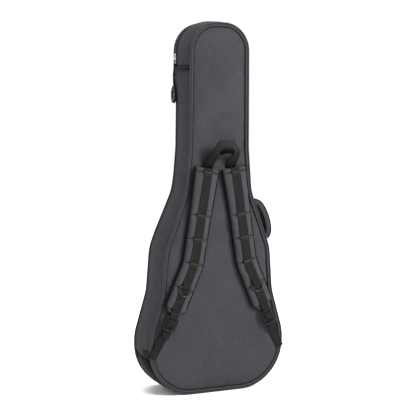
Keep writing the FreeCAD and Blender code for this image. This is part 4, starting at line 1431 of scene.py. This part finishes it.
def strap_webbing(strap, pad):
    """Webbing down the middle of the pad, sewn at each tack, with the quilting rows beside it."""
    where = np.linspace(-2 * MM, strap.total - 4 * MM, 150)
    surface = np.array([v.co for v in pad.data.vertices])
    ys = face_line(strap, surface, where)
    ripples = np.sin(math.pi * np.arange(150) / 149 * 23) ** 2
    ys = np.array([y + 0.5 * MM - 0.225 * MM * ripple + 0.9 * MM * strap.quilt(w)
                   for w, y, ripple in zip(where, ys, ripples)])
    web = strap_weave(f"strap_webbing_{strap.word}_weave", strap, list(zip(where, ys)), WEB_HALF, 1.7 * MM,
                      loops=False)
    place(web, strap.body, "webbing", f"strap_webbing_{strap.word}")
    tacks, rows = [], []
    for tack in strap.tacks:
        y = float(np.interp(tack, where, ys)) - 1.9 * MM
        tacks += bar_tack(strap, tack, y)
        if abs(tack - strap.tacks[-2]) > 20 * MM:
            tacks += bar_tack(strap, tack + 7 * MM, y + 0.1 * MM, height=1.6 * MM, rungs=0)
        # Four short rows of light thread below each tack: painted highlights where the webbing's ribs bulge
        # and catch the light.
        for a in (-9 * MM, -3 * MM, 3 * MM, 9 * MM):
            points = [strap.at(w, a, float(np.interp(w, where, ys)) - 1.8 * MM)
                      for w in np.linspace(tack + 1 * MM, tack + 10 * MM, 8)]
            tacks.append(stitches("tack", points, TO_BACK, TACK_THREAD_AND_RIB_HIGHLIGHT, length=1.8 * MM, gap=0.5 * MM,
                                  radius=0.35 * MM))
        for sign in (-1, 1):
            points = []
            for a in np.linspace(WEB_HALF + 0.5 * MM, STRAP_HALF - 5 * MM, 9):
                points.append(strap.at(tack, sign * a, surface_y(surface, strap.at(tack, sign * a, 0))))
            rows.append(stitches("row", points, TO_BACK, DARK_THREAD, length=2.2 * MM, gap=0.9 * MM))
    place(join(f"strap_tacks_and_rib_highlights_{strap.word}", tacks), strap.body, "webbing")
    place(join(f"strap_quilting_{strap.word}", rows), strap.body, "binding")
    edge_rows = []
    for sign in (-1, 1):
        line_at = np.linspace(3 * MM, strap.total - END_RADIUS, 60)
        points = [strap.at(w, sign * (strap.half_width(w) - 7 * MM), 0) for w in line_at]
        points = [(p[0], surface_y(surface, p), p[2]) for p in points]
        edge_rows.append(stitches("row", points, TO_BACK, GREY_THREAD))
    place(join(f"strap_edge_stitches_{strap.word}", edge_rows), strap.body, "binding")
    return where, ys


def surface_y(points, point):
    """Height of the pad's outer face at a place on the back, from the nearest of its points."""
    outer = points[points[:, 1] < (STRAP_INNER + STRAP_FACE) / 2]
    gap = np.hypot(outer[:, 0] - point[0], outer[:, 2] - point[2])
    return outer[np.argsort(gap)[:4], 1].mean() - 0.3 * MM


def d_ring(strap):
    """Bent wire ring lying on the webbing, its straight side held in a sewn tab."""
    half, drop, wire = 17 * MM, 24 * MM, 2 * MM
    low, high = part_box(f"strap_ring_{strap.word}")
    ring_y = ((low + high) / 2).y
    ring_at = strap.station(RING_CENTRE[1])
    right = [(half, 0, 3 * MM), (half, drop * 0.42, 14 * MM), (half * 0.55, drop, 12 * MM)]
    left = [(-a, b, radius) for a, b, radius in reversed(right)]
    plan = rounded([(0, 0, 0)] + right + left, closed=True)
    plan = resample(np.vstack([plan, plan[:1]]), np.linspace(0, lengths(plan)[-1], 90))[:-1]
    points = [strap.at(ring_at + b, a, ring_y) for a, b in plan]
    piece = tube(f"strap_ring_{strap.word}_wire", points, wire, DARK_METAL, closed=True)
    place(piece, f"ring_{strap.word}", "slider_metal", f"strap_ring_{strap.word}")
    web_y = STRAP_FACE - 3.0 * MM
    loop = [(-19, web_y - 0.4 * MM), (-15, web_y - 0.8 * MM), (-8, ring_y - 2.2 * MM),
            (-2, ring_y - 3.1 * MM), (2.2, ring_y - 2.4 * MM), (3.4, ring_y), (2.2, ring_y + 2.4 * MM),
            (-2, ring_y + 2.3 * MM), (-12, web_y + 0.4 * MM)]
    soft = smooth_line([(b * MM, y) for b, y in loop], 1 * MM, 3)
    path = [strap.at(ring_at + b, 0, y) for b, y in soft]
    across = [strap.across(ring_at)[0]] * len(path)
    tab = webbing(f"ring_tab_{strap.word}_weave", path, across, NARROW_HALF, 1.2 * MM)
    place(tab, strap.body, "webbing", f"ring_tab_{strap.word}")
    tack = bar_tack(strap, ring_at - 13 * MM, web_y - 2.3 * MM, half=11 * MM)
    place(join(f"ring_tab_tack_{strap.word}", tack), strap.body, "webbing")


def ladder_lock(strap):
    """Moulded ladder lock: side rails, three bars and a lifted lip to slacken the strap."""
    word = strap.word
    low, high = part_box(f"ladder_lock_{word}")
    y_mid = (low.y + high.y) / 2
    base = strap.total + LOCK_DROP
    across = strap.across(strap.total)[0]
    parts = []
    rail = 17.8 * MM
    for sign in (-1, 1):
        points = [(-19, 0.6), (-6, -0.3), (6, -0.6), (15, -1.6), (21, -3.2)]
        places = [strap.at(base + b * MM, sign * rail, y_mid + lift * MM) for b, lift in points]
        for start, end in zip(places, places[1:]):
            parts.append(bar(start, end, 4.2 * MM, 5.2 * MM, across, ends=0.1))
    along = strap.frame(strap.total)[1][0]
    downward = (strap.side * along[0], 0, along[1])
    for b, lift, wide, thick in ((-18, 0.4, 4.2, 4.6), (-1, 0.2, 6.5, 4.4), (7, -1.2, 4.6, 4.2),
                                 (20.5, -3.2, 5.0, 4.4)):
        start, end = (strap.at(base + b * MM, a, y_mid + lift * MM) for a in (-rail, rail))
        parts.append(bar(start, end, wide * MM, thick * MM, downward, ends=0.1))
    lock = fuse(face_outward(join(f"ladder_lock_{word}_moulding", parts)), 0.7 * MM)
    place(lock, f"lock_{word}", "moulded", f"ladder_lock_{word}")
    web_y = STRAP_FACE - 0.6 * MM
    hanger = [(strap.total - 22 * MM, web_y - 1.2 * MM), (strap.total - 6 * MM, web_y - 1.0 * MM),
              (base - 21 * MM, y_mid - 3.4 * MM), (base - 17 * MM, y_mid - 3.6 * MM),
              (base - 14 * MM, y_mid - 1.5 * MM), (base - 14 * MM, y_mid + 2 * MM),
              (base - 18 * MM, y_mid + 3.4 * MM), (strap.total - 8 * MM, web_y + 3.2 * MM)]
    soft = smooth_line(hanger, 1 * MM, 3)
    loop = strap_weave(f"lock_loop_{word}_weave", strap, soft, NARROW_HALF, 1.3 * MM)
    place(loop, strap.body, "webbing")


def lower_webbing(strap):
    """Webbing from the lock down to the seam at the lower bout, and its loose tail."""
    word = strap.word
    low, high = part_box(f"ladder_lock_{word}")
    y_mid = (low.y + high.y) / 2
    lock = strap.at(strap.total + LOCK_DROP, 0, y_mid)
    anchor = np.array([strap.side * SEAM_END[0], BACK - 3.9 * MM, SEAM_END[1]])
    down = unit((anchor - lock) * [1, 0, 1])
    side_on = unit(np.cross(down, [0, 1, 0]))
    path = np.array([lock + down * 3 * MM + [0, 1.5 * MM, 0], lock + down * 11 * MM + [0, 4.8 * MM, 0],
                     lock + down * 24 * MM + [0, 6.2 * MM, 0],
                     lock * 0.45 + anchor * 0.55 + [0, 1.5 * MM, 0], anchor - down * 10 * MM,
                     anchor + down * 3 * MM + [0, 0.6 * MM, 0]])
    path = smooth_line(path, 2 * MM, 3)
    across = [side_on] * len(path)
    web = webbing(f"lower_webbing_{word}_weave", path, across, NARROW_HALF, 1.6 * MM, loops=False)
    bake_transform(web)
    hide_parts(f"lower_webbing_{word}")
    tail = [(-13, 1.0), (-9, -3.0), (-3, -3.6), (3, -3.6), (8, -2.4), (14, 0.2), (22, 1.8), (34, 2.6),
            (46, 3.0)]
    line = smooth_line([(strap.total + LOCK_DROP + b * MM, y_mid + y * MM) for b, y in tail], 1 * MM, 3)
    piece = strap_weave(f"strap_tail_{word}_weave", strap, line, NARROW_HALF, 1.4 * MM)
    place(piece, f"lock_{word}", "webbing", f"strap_tail_{word}")
    anchor_patch(strap)


def anchor_patch(strap):
    """The end of the webbing, turned round the seam and sewn down on the gusset."""
    left = strap.side < 0
    start, end = (bag.station(z, left) for z in ANCHOR_HEIGHTS)
    where = stations(start, end, 2 * MM)

    def profile(z):
        outer = [(gusset_puff((y - GUSSET_BACK) / 0.1, z) + 3.1 * MM, y)
                 for y in np.linspace(*ANCHOR_DEPTHS, 9)]
        inner = [(d - 1.6 * MM, y) for d, y in reversed(outer)]
        fold = [(-4 * MM, -0.0596), (1.8 * MM, -0.0578)]
        return fold + outer + inner + [(-1.5 * MM, -0.0560)]

    grid = bag.wrapped(where, profile)
    patch = closed_piece(f"strap_anchor_{strap.word}_weave", grid, WEBBING)
    place(patch, "shell", "webbing", f"strap_anchor_{strap.word}")


straps = [Strap(1, "right"), Strap(-1, "left")]
for strap in straps:
    pad = strap_pad(strap)
    strap_edge(strap)
    strap_webbing(strap, pad)
    d_ring(strap)
    ladder_lock(strap)
    lower_webbing(strap)


# ================================================================ handles
SIDE_HANDLE_Z = 0.497


def grab_handle():
    """Carrying handle: two webbing legs out of the yoke seam, folded over into a wide top band."""
    base = np.array([0.0, BACK - 3.2 * MM, YOKE + 1 * MM])
    lean = 35 * DEG
    up = np.array([0, -math.sin(lean), math.cos(lean)])
    out = np.array([0, -math.cos(lean), -math.sin(lean)])
    outer = [(-56, -3, 0), (-50, 20, 0.5), (-39, 56, 1.5), (-32, 80, 0), (-26, 93, -3), (-20, 96, -3),
             (0, 97, -4), (20, 96, -3), (26, 93, -2), (36, 80, 0), (47, 66, 2), (52, 57, 3), (53, 46, 2),
             (53, 22, 0.5), (52, -3, 0)]
    inner = [(-20, -3, 0), (-18, 20, 1), (-16, 46, 4), (-16, 62, 8), (-14, 74, 12), (-6, 79, 14), (8, 79, 14),
             (22, 75, 13), (30, 64, 10), (25, 50, 4), (20, 34, 1), (20, 18, 0.5), (20, -3, 0)]
    outer, inner = (smooth_line(np.array(line, float) * MM, 1.0 * MM, 2) for line in (outer, inner))
    rows, across = 150, 9
    outer, inner = (resample(line, np.linspace(0, lengths(line)[-1], rows)) for line in (outer, inner))
    grid, painted_leg_shade = [], []
    for (ox, oz, oy), (ix, iz, iy) in zip(outer, inner):
        # Painted shade: the legs darker than the top band, which faces up into the light.
        painted_leg_shade.append([0.55 * min(1.0, max(0.0, (72 * MM - oz) / (14 * MM)))] * (2 * across))
        a = base + np.array([1, 0, 0]) * ox + up * oz + out * oy
        b = base + np.array([1, 0, 0]) * ix + up * iz + out * iy
        top, under = [], []
        for t in np.linspace(0, 1, across):
            bulge = 1.2 * MM * 4 * t * (1 - t)
            fullness = 0.25 + 0.75 * min(1, 8 * t, 8 * (1 - t))
            top.append(a + (b - a) * t + out * (bulge + 1.7 * MM * fullness))
            under.append(top[-1] - out * (3.4 * MM * fullness))
        grid.append(top + under[::-1])
    uv = [[(min(j, 2 * across - 1 - j) * 4.2 * MM, i * 1.6 * MM) for j in range(2 * across)]
          for i in range(rows)]
    piece = closed_piece("grab_handle_webbing", grid, HANDLE_WEB, uv=uv, shade=painted_leg_shade)
    place(piece, "grab_handle", "webbing", "grab_handle")
    fold = []
    for ix, iz, iy in inner[(inner[:, 1] > 52 * MM)]:
        share = np.clip((iz / MM - 52) / 20, 0, 1)
        front = base + np.array([1, 0, 0]) * ix + up * (iz + 2 * MM) + out * (iy - 0.5 * MM)
        low = front + np.array([0, 8, -17]) * MM * share
        rear = front + up * 2 * MM - out * (8 + 12 * share) * MM
        thick = up * 1.8 * MM
        fold.append([front, low, rear, rear + thick, low + thick, front + thick])
    # Painted shadow: the fold under the top band is darkened fully through the shade attribute.
    fold_piece = closed_piece("grab_handle_fold", fold, WEBBING, shade=[[1.0] * 6] * len(fold))
    place(fold_piece, "grab_handle", "webbing")
    rows_of_thread = []
    for share in (0.09, 0.91):
        line = [np.array(grid[i])[int(1 + share * 6)] + out * 0.3 * MM for i in range(8, rows - 8)]
        rows_of_thread.append(stitches("row", line, np.array([out]), DARK_THREAD))
    for sign in (-1, 1):
        for step in range(4):
            z = (2.5 + step * 1.6) * MM
            points = [base + np.array([sign * x * MM, 0, 0]) + up * z + out * 3.2 * MM
                      for x in np.linspace(24, 52, 18)]
            rows_of_thread.append(stitches("row", points, np.array([out]), DARK_THREAD, length=1.8 * MM,
                                           gap=0.5 * MM, radius=0.5 * MM))
    place(join("grab_handle_stitches", rows_of_thread), "grab_handle", "webbing")


def side_handle():
    """Padded half-moon handle on the right, with a webbing core and sewn feet."""
    (low_x, low_z, _), (high_x, high_z, _) = BAG_CORNERS[3:5]
    slope = math.atan2(low_x - high_x, high_z - low_z)
    x_at = low_x + (SIDE_HANDLE_Z - low_z) / (high_z - low_z) * (high_x - low_x)
    centre = np.array([x_at, 0, SIDE_HANDLE_Z])
    out = np.array([math.cos(slope), 0, math.sin(slope)])
    along = np.array([-math.sin(slope), 0, math.cos(slope)])
    turn = np.linspace(0, math.pi, 120)
    plan = np.stack([(11 + 27 * np.sin(turn) ** 0.7) * MM, -56 * np.cos(turn) * MM], axis=1)
    plan = resample(plan, np.linspace(0, lengths(plan)[-1], 90))
    path = np.array([centre + out * n + along * t for n, t in plan])
    tangent = unit(np.gradient(path, axis=0))
    side = np.array([0, 1, 0])
    normal = unit(np.cross(tangent, side))
    if normal[45] @ out < 0:
        normal = -normal
    around = 26
    rows = []
    for i, (p, n) in enumerate(zip(path, normal)):
        share = i / 89
        ends = min(1.0, 10 * share, 10 * (1 - share)) ** 0.5
        row = []
        for a in circle(around):
            c, s = math.cos(a), math.sin(a)
            u = math.copysign(abs(c) ** 0.6, c) * 21.5 * MM
            v = math.copysign(abs(s) ** 0.75, s) * 10.3 * MM * (0.6 + 0.4 * ends)
            row.append(p + side * u + n * v)
        rows.append(row)
    pad = closed_piece("side_handle_cloth", rows, SHELL_CLOTH)
    count = len(rows) * around
    pins = {i: 1.0 for i in list(range(around)) + list(range(count - around, count))}
    pins |= {i * around + j: 1.0 for i in range(len(rows)) for j in (0, 1, 25, 12, 13, 14)}
    simulate(pad, pins, pressure=1.5, cap=2 * MM, shrink=-0.015, frames=12)
    place(pad, "side_handle", "shell_fabric", "side_handle_pad")
    for word, sign in (("back", -1), ("front", 1)):
        line = [p + side * sign * 20.6 * MM + n * 8.0 * MM for p, n in zip(path, normal)]
        place(tube(f"side_handle_piping_{word}", line, 1.5 * MM, BINDING), "side_handle", "binding")
        line = [p + side * sign * 20.6 * MM - n * 8.0 * MM for p, n in zip(path[4:-4], normal[4:-4])]
        place(tube(f"side_handle_inner_piping_{word}", line, 1.2 * MM, BINDING), "side_handle", "binding")
    core_path = path[3:-3] - normal[3:-3] * 10.0 * MM
    grid = sweep(core_path, [side] * len(core_path), -normal[3:-3], flat_profile(38 * MM, 1.8 * MM))
    core = closed_piece("side_handle_core_weave", grid, WEBBING)
    place(core, "side_handle", "webbing", "side_handle_webbing")
    feet, rows_of_thread = [], []
    foot_plan = ((1.6, 73), (2.2, 68), (3.2, 62), (4.2, 55), (4.4, 50), (2.5, 44))
    for sign in (-1, 1):
        foot_path = [centre + out * n * MM + along * sign * t * MM for n, t in foot_plan]
        foot_path = smooth_line(foot_path, 1 * MM, 2) + out * 3.2 * MM
        count = len(foot_path)
        grid = sweep(foot_path, [side] * count, [out] * count, flat_profile(46 * MM, 2.0 * MM))
        feet.append(closed_piece("foot", grid, WEBBING))
        for t in (70 * MM, 66 * MM):
            points = [centre + out * 8.0 * MM + along * sign * t + side * y
                      for y in np.linspace(-20, 20, 24) * MM]
            rows_of_thread.append(stitches("row", points, np.array([out]), DARK_THREAD))
    place(join("side_handle_feet", feet), "shell", "webbing", "side_handle_tabs")
    place(join("side_handle_foot_stitches", rows_of_thread), "shell", "webbing")


grab_handle()
side_handle()


# ================================================================ zip sliders and the cord puller
def main_slider():
    """Cast slider with its bridge, on the zip at the upper left."""
    low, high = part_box("main_zip_slider")
    centre = np.array((low + high) / 2)
    inner_x = high.x
    plate_x = inner_x - 1.0 * MM
    parts = [bar((plate_x, centre[1], low.z + 0.5 * MM), (plate_x, centre[1], high.z - 0.5 * MM), 8.8 * MM,
                 1.6 * MM, (0, 1, 0), ends=0.6, material=NICKEL)]
    flange_x = inner_x - 1.6 * MM
    for sign in (-1, 1):
        y = centre[1] + sign * 3.6 * MM
        parts.append(bar((flange_x, y, low.z + 2 * MM), (flange_x, y, high.z - 3 * MM), 1.6 * MM, 2.4 * MM,
                         (0, 1, 0), ends=0.3, material=NICKEL))
    bridge = [(inner_x - 1.2 * MM, high.z - 3.5 * MM), (inner_x - 3.4 * MM, high.z - 5.0 * MM),
              (low.x + 0.9 * MM, high.z - 8 * MM), (low.x + 0.9 * MM, low.z + 8 * MM),
              (inner_x - 3.4 * MM, low.z + 5.0 * MM), (inner_x - 1.2 * MM, low.z + 3.5 * MM)]
    bridge = smooth_line([(x, centre[1], z) for x, z in bridge], 0.6 * MM, 2)
    parts.append(tube("bridge", bridge, 1.1 * MM, NICKEL))
    body = fuse(face_outward(join("main_slider_casting", parts)), 0.28 * MM, 2)
    place(body, "main_slider", "slider_metal", "main_zip_slider")


def main_pull():
    """Nickel bail and plate that hangs from the slider and carries the cord."""
    low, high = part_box("main_zip_pull")
    x = (low.x + high.x) / 2
    y = (low.y + high.y) / 2
    half = (high.y - low.y) / 2 - 1.0 * MM
    top, bottom = high.z - 1 * MM, low.z + 1 * MM
    corners = [(-half, top, 2 * MM), (-half, bottom, 4 * MM), (half, bottom, 4 * MM), (half, top, 2 * MM)]
    plan = rounded(corners, closed=True, step=0.3 * MM)
    plan = evenly(plan, 69)
    points = [(x, y + a, b) for a, b in plan]
    ring = tube("main_pull_bail", points, 0.95 * MM, NICKEL, closed=True, around_axis=(1, 0, 0))
    place(ring, "main_pull", "slider_metal", "main_zip_pull")


def knot():
    """Cord looped through the bail and tied: two turns round the strands and the loop above."""
    low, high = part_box("puller_knot")
    centre = np.array((low + high) / 2)
    parts = []
    for turn in range(2):
        z = low.z + (1.7 + 2.7 * turn) * MM
        tilt = (0.5 - turn) * 1.2 * MM
        points = [(centre[0] + 1.75 * MM * math.cos(a), centre[1] + 3.0 * MM * math.sin(a),
                   z + tilt * math.cos(a)) for a in circle(26)]
        parts.append(tube("turn", points, 1.45 * MM, CORD_BRAID, closed=True, around_axis=(0, 0, 1)))
    pull_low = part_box("main_zip_pull")[0]
    loop = [(centre[0], centre[1] - 2.0 * MM, high.z - 3 * MM),
            (centre[0] - 0.6 * MM, centre[1] - 2.4 * MM, pull_low.z + 2 * MM),
            (centre[0] + 0.2 * MM, centre[1] - 1.4 * MM, pull_low.z + 4.2 * MM),
            (centre[0] + 1.0 * MM, centre[1] + 0.0 * MM, pull_low.z + 4.8 * MM),
            (centre[0] + 1.6 * MM, centre[1] + 1.4 * MM, pull_low.z + 4.2 * MM),
            (centre[0] + 1.6 * MM, centre[1] + 2.4 * MM, pull_low.z + 2 * MM),
            (centre[0], centre[1] + 2.0 * MM, high.z - 3 * MM)]
    parts.append(tube("loop", smooth_line(loop, 0.7 * MM, 2), 1.2 * MM, CORD_BRAID, around_axis=(1, 0, 0)))
    piece = join("puller_knot_cord", parts)
    place(piece, "cord_puller", "cord", "puller_knot")
    return piece


def grip():
    """Moulded finger grip: an elongated hexagon with a hole and raised finger ribs."""
    low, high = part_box("puller_grip")
    centre = np.array((low + high) / 2)
    outer = rounded([(-5 * MM, 0, 2 * MM), (-13 * MM, -14 * MM, 4 * MM), (-13 * MM, -36 * MM, 4 * MM),
                     (-5 * MM, -50 * MM, 2 * MM), (5 * MM, -50 * MM, 2 * MM), (13 * MM, -36 * MM, 4 * MM),
                     (13 * MM, -14 * MM, 4 * MM), (5 * MM, 0, 2 * MM)], closed=True, step=0.5 * MM)
    hole = rounded([(-4 * MM, -15 * MM, 2 * MM), (-6.5 * MM, -22 * MM, 3 * MM), (-6.5 * MM, -29 * MM, 3 * MM),
                    (-3 * MM, -34 * MM, 2 * MM), (3 * MM, -34 * MM, 2 * MM), (6.5 * MM, -29 * MM, 3 * MM),
                    (6.5 * MM, -22 * MM, 3 * MM), (4 * MM, -15 * MM, 2 * MM)], closed=True, step=0.5 * MM)
    outer, hole = evenly(outer, 96), evenly(hole, 96)
    shift = np.argmin(np.hypot(*(hole - outer[0] * 0.5 - hole.mean(axis=0) * 0.5).T))
    hole = np.roll(hole, -shift, axis=0)
    half = (high.x - low.x) / 2
    section = [(0.0, 0.55), (0.03, 0.8), (0.12, 0.97), (0.35, 1.0), (0.7, 0.97), (0.9, 0.82), (1.0, 0.5)]
    rows = []
    for o, h in zip(outer, hole):
        ring = [(centre[0] + half * v, centre[1] + (o + (h - o) * t)[0], high.z + (o + (h - o) * t)[1])
                for t, v in section]
        ring += [(2 * centre[0] - x, y, z) for x, y, z in reversed(ring)]
        rows.append(ring)
    body = closed_piece("puller_grip_moulding", rows, RUBBER, around=True)
    ribs = []
    for number in range(4):
        z = high.z - (38.5 + number * 2.6) * MM
        half_rib = (9.5 - number * 1.7) * MM
        for sign in (-1, 1):
            x = centre[0] + sign * half * 0.98
            ribs.append(bar((x, centre[1] - half_rib, z), (x, centre[1] + half_rib, z), 1.1 * MM, 0.9 * MM,
                            (0, 0, 1), material=RUBBER))
    piece = join("puller_grip_moulding", [body] + ribs)
    place(face_outward(piece), "cord_puller", "moulded", "puller_grip")
    return piece


def pocket_slider():
    """Small slider and tab on the pocket's top edge."""
    low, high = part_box("pocket_zip_slider")
    centre = np.array((low + high) / 2)
    plate_z = low.z + 1.2 * MM
    plate = bar((low.x + 0.4 * MM, centre[1], plate_z), (high.x - 0.4 * MM, centre[1], plate_z), 8.6 * MM,
                1.6 * MM, (0, 1, 0), ends=0.6, material=NICKEL)
    bridge = [(low.x + 4 * MM, low.z + 1.4 * MM), (low.x + 5 * MM, high.z - 0.6 * MM),
              (high.x - 5 * MM, high.z - 0.6 * MM), (high.x - 4 * MM, low.z + 1.4 * MM)]
    bridge = smooth_line([(x, centre[1], z) for x, z in bridge], 0.5 * MM, 2)
    parts = [plate, tube("bridge", bridge, 0.9 * MM, NICKEL)]
    body = fuse(face_outward(join("pocket_slider_casting", parts)), 0.28 * MM, 2)
    place(body, "pocket_slider", "slider_metal", "pocket_zip_slider")
    low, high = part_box("pocket_zip_pull")
    z = (low.z + high.z) / 2
    y = (low.y + high.y) / 2
    near, neck, far = low.x + 0.6 * MM, low.x + 9 * MM, high.x - 1 * MM
    plan = rounded([(near, -1.4 * MM, 0.8 * MM), (neck, -3.2 * MM, 3 * MM), (far, -3.2 * MM, 2.5 * MM),
                    (far, 3.2 * MM, 2.5 * MM), (neck, 3.2 * MM, 3 * MM), (near, 1.4 * MM, 0.8 * MM)],
                   closed=True, step=0.4 * MM)
    points = [(px, y + py, z) for px, py in evenly(plan, 79)]
    rim = tube("rim", points, 0.75 * MM, NICKEL, closed=True, around_axis=(0, 0, 1))
    bars = []
    for number in range(3):
        x = low.x + 11 * MM + number * 3 * MM
        bars.append(bar((x, y - 2.6 * MM, z), (x, y + 2.6 * MM, z), 1.2 * MM, 0.9 * MM, (1, 0, 0),
                        material=NICKEL))
    place(join("pocket_pull_tab", [rim] + bars), "pocket_pull", "slider_metal", "pocket_zip_pull")


main_slider()
main_pull()
pocket_slider()
knot_piece, grip_piece = knot(), grip()


# ================================================================ inside fittings
PLUSH = woven("plush_cover", (0.016, 0.016, 0.018), (0.040, 0.040, 0.044), pitch=1.4 * MM, rough=0.9,
              sheen=0.2, heather=0.7, along_surface=False, bump=0.5 * MM)


def covered_block(name, node_name, swell, voxel=4 * MM):
    """A foam block in its cloth cover: the CAD solid remeshed, swollen and softened."""
    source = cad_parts[node_name]
    mesh = source.data.copy()
    mesh.name = name
    mesh.materials.clear()
    piece = add_object(name, mesh, PLUSH)
    inset = piece.modifiers.new("inset", "DISPLACE")
    inset.strength = -0.6 * MM
    inset.mid_level = 0
    fuse(piece, voxel, 4)
    low_y = min(v.co.y for v in piece.data.vertices)
    pins = {v.index: 1.0 for v in piece.data.vertices if v.co.y < low_y + 2 * MM}
    simulate(piece, pins, pressure=2.0, cap=swell, shrink=0.0, frames=12)
    subdivided(piece)
    place(piece, "shell", "lining", node_name)


covered_block("neck_cradle_cover", "neck_cradle", 3 * MM)
covered_block("tail_bumper_cover", "tail_bumper", 3 * MM, voxel=5 * MM)
covered_block("headstock_rest_cover", "headstock_rest", 2 * MM, voxel=3.5 * MM)


def flat_strap(name, xs, y, z, width, thick, material):
    """A flat band through the given x on the inside of the bag, its outer face to the front."""
    path = np.array([(x, y, z) for x in xs])
    grid = sweep(path, [(0, 0, 1)] * len(path), [(0, 1, 0)] * len(path), flat_profile(width, thick))
    return closed_piece(name, grid, material)


def neck_strap():
    """Hook-and-loop strap over the neck cradle."""
    low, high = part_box("neck_strap")
    z = (low.z + high.z) / 2
    xs = np.linspace(low.x + 1 * MM, high.x - 1 * MM, 60)
    strap = flat_strap("neck_strap_weave", xs, low.y + 0.3 * MM, z, high.z - low.z, 1.7 * MM, WEBBING)
    place(strap, "neck_strap", "strap_inside", "neck_strap")
    rows = []
    for side in (-1, 1):
        line = [(x, low.y + 2.1 * MM, z + side * 16 * MM) for x in xs]
        rows.append(stitches("row", line, TO_FRONT, DARK_THREAD))
    place(join("neck_strap_stitches", rows), "neck_strap", "strap_inside")
    low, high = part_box("neck_strap_fastener")
    xs = np.linspace(low.x, high.x, 20)
    patch = flat_strap("neck_strap_hooks", xs, low.y, z, high.z - low.z, 1.5 * MM, PLUSH)
    place(patch, "neck_strap", "strap_inside", "neck_strap_fastener")


neck_strap()


# ================================================================ floor, light and the end
FLOOR_REACH = 12
FLOOR_WHITE = 0.98
WORLD_STRENGTH = 1.03
LOOK_AT = (0, 0, 0.55)
# Name, place, size in metres and power in watts of each lamp.
LAMPS = (("key", (1.9, -3.2, 2.3), 1.5, 310), ("top", (-0.6, 0.5, 3.4), 2.0, 90))


def stage_and_light():
    """A pale floor, a white world and two soft lamps."""
    floor_mesh = bpy.data.meshes.new("floor")
    corners = [(x * FLOOR_REACH, y * FLOOR_REACH, 0) for x, y in ((-1, -1), (1, -1), (1, 1), (-1, 1))]
    floor_mesh.from_pydata(corners, [], [(0, 1, 2, 3)])
    floor, _, shader = start_material("floor", 0.9, specular=0.1)
    shader.inputs["Base Color"].default_value = (FLOOR_WHITE, FLOOR_WHITE, FLOOR_WHITE, 1)
    add_object("floor", floor_mesh, floor)
    world = bpy.data.worlds.new("studio")
    world.use_nodes = True
    background = world.node_tree.nodes["Background"]
    background.inputs["Color"].default_value = (1, 1, 1, 1)
    background.inputs["Strength"].default_value = WORLD_STRENGTH
    bpy.context.scene.world = world
    bpy.context.scene.view_settings.view_transform = "Standard"
    for name, where, size, power in LAMPS:
        data = bpy.data.lights.new(name, "AREA")
        data.shape = "DISK"
        data.size = size
        data.energy = power
        lamp = bpy.data.objects.new(name, data)
        bpy.context.scene.collection.objects.link(lamp)
        lamp.location = where
        lamp.rotation_euler = (Vector(LOOK_AT) - Vector(where)).to_track_quat("-Z", "Y").to_euler()


stage_and_light()
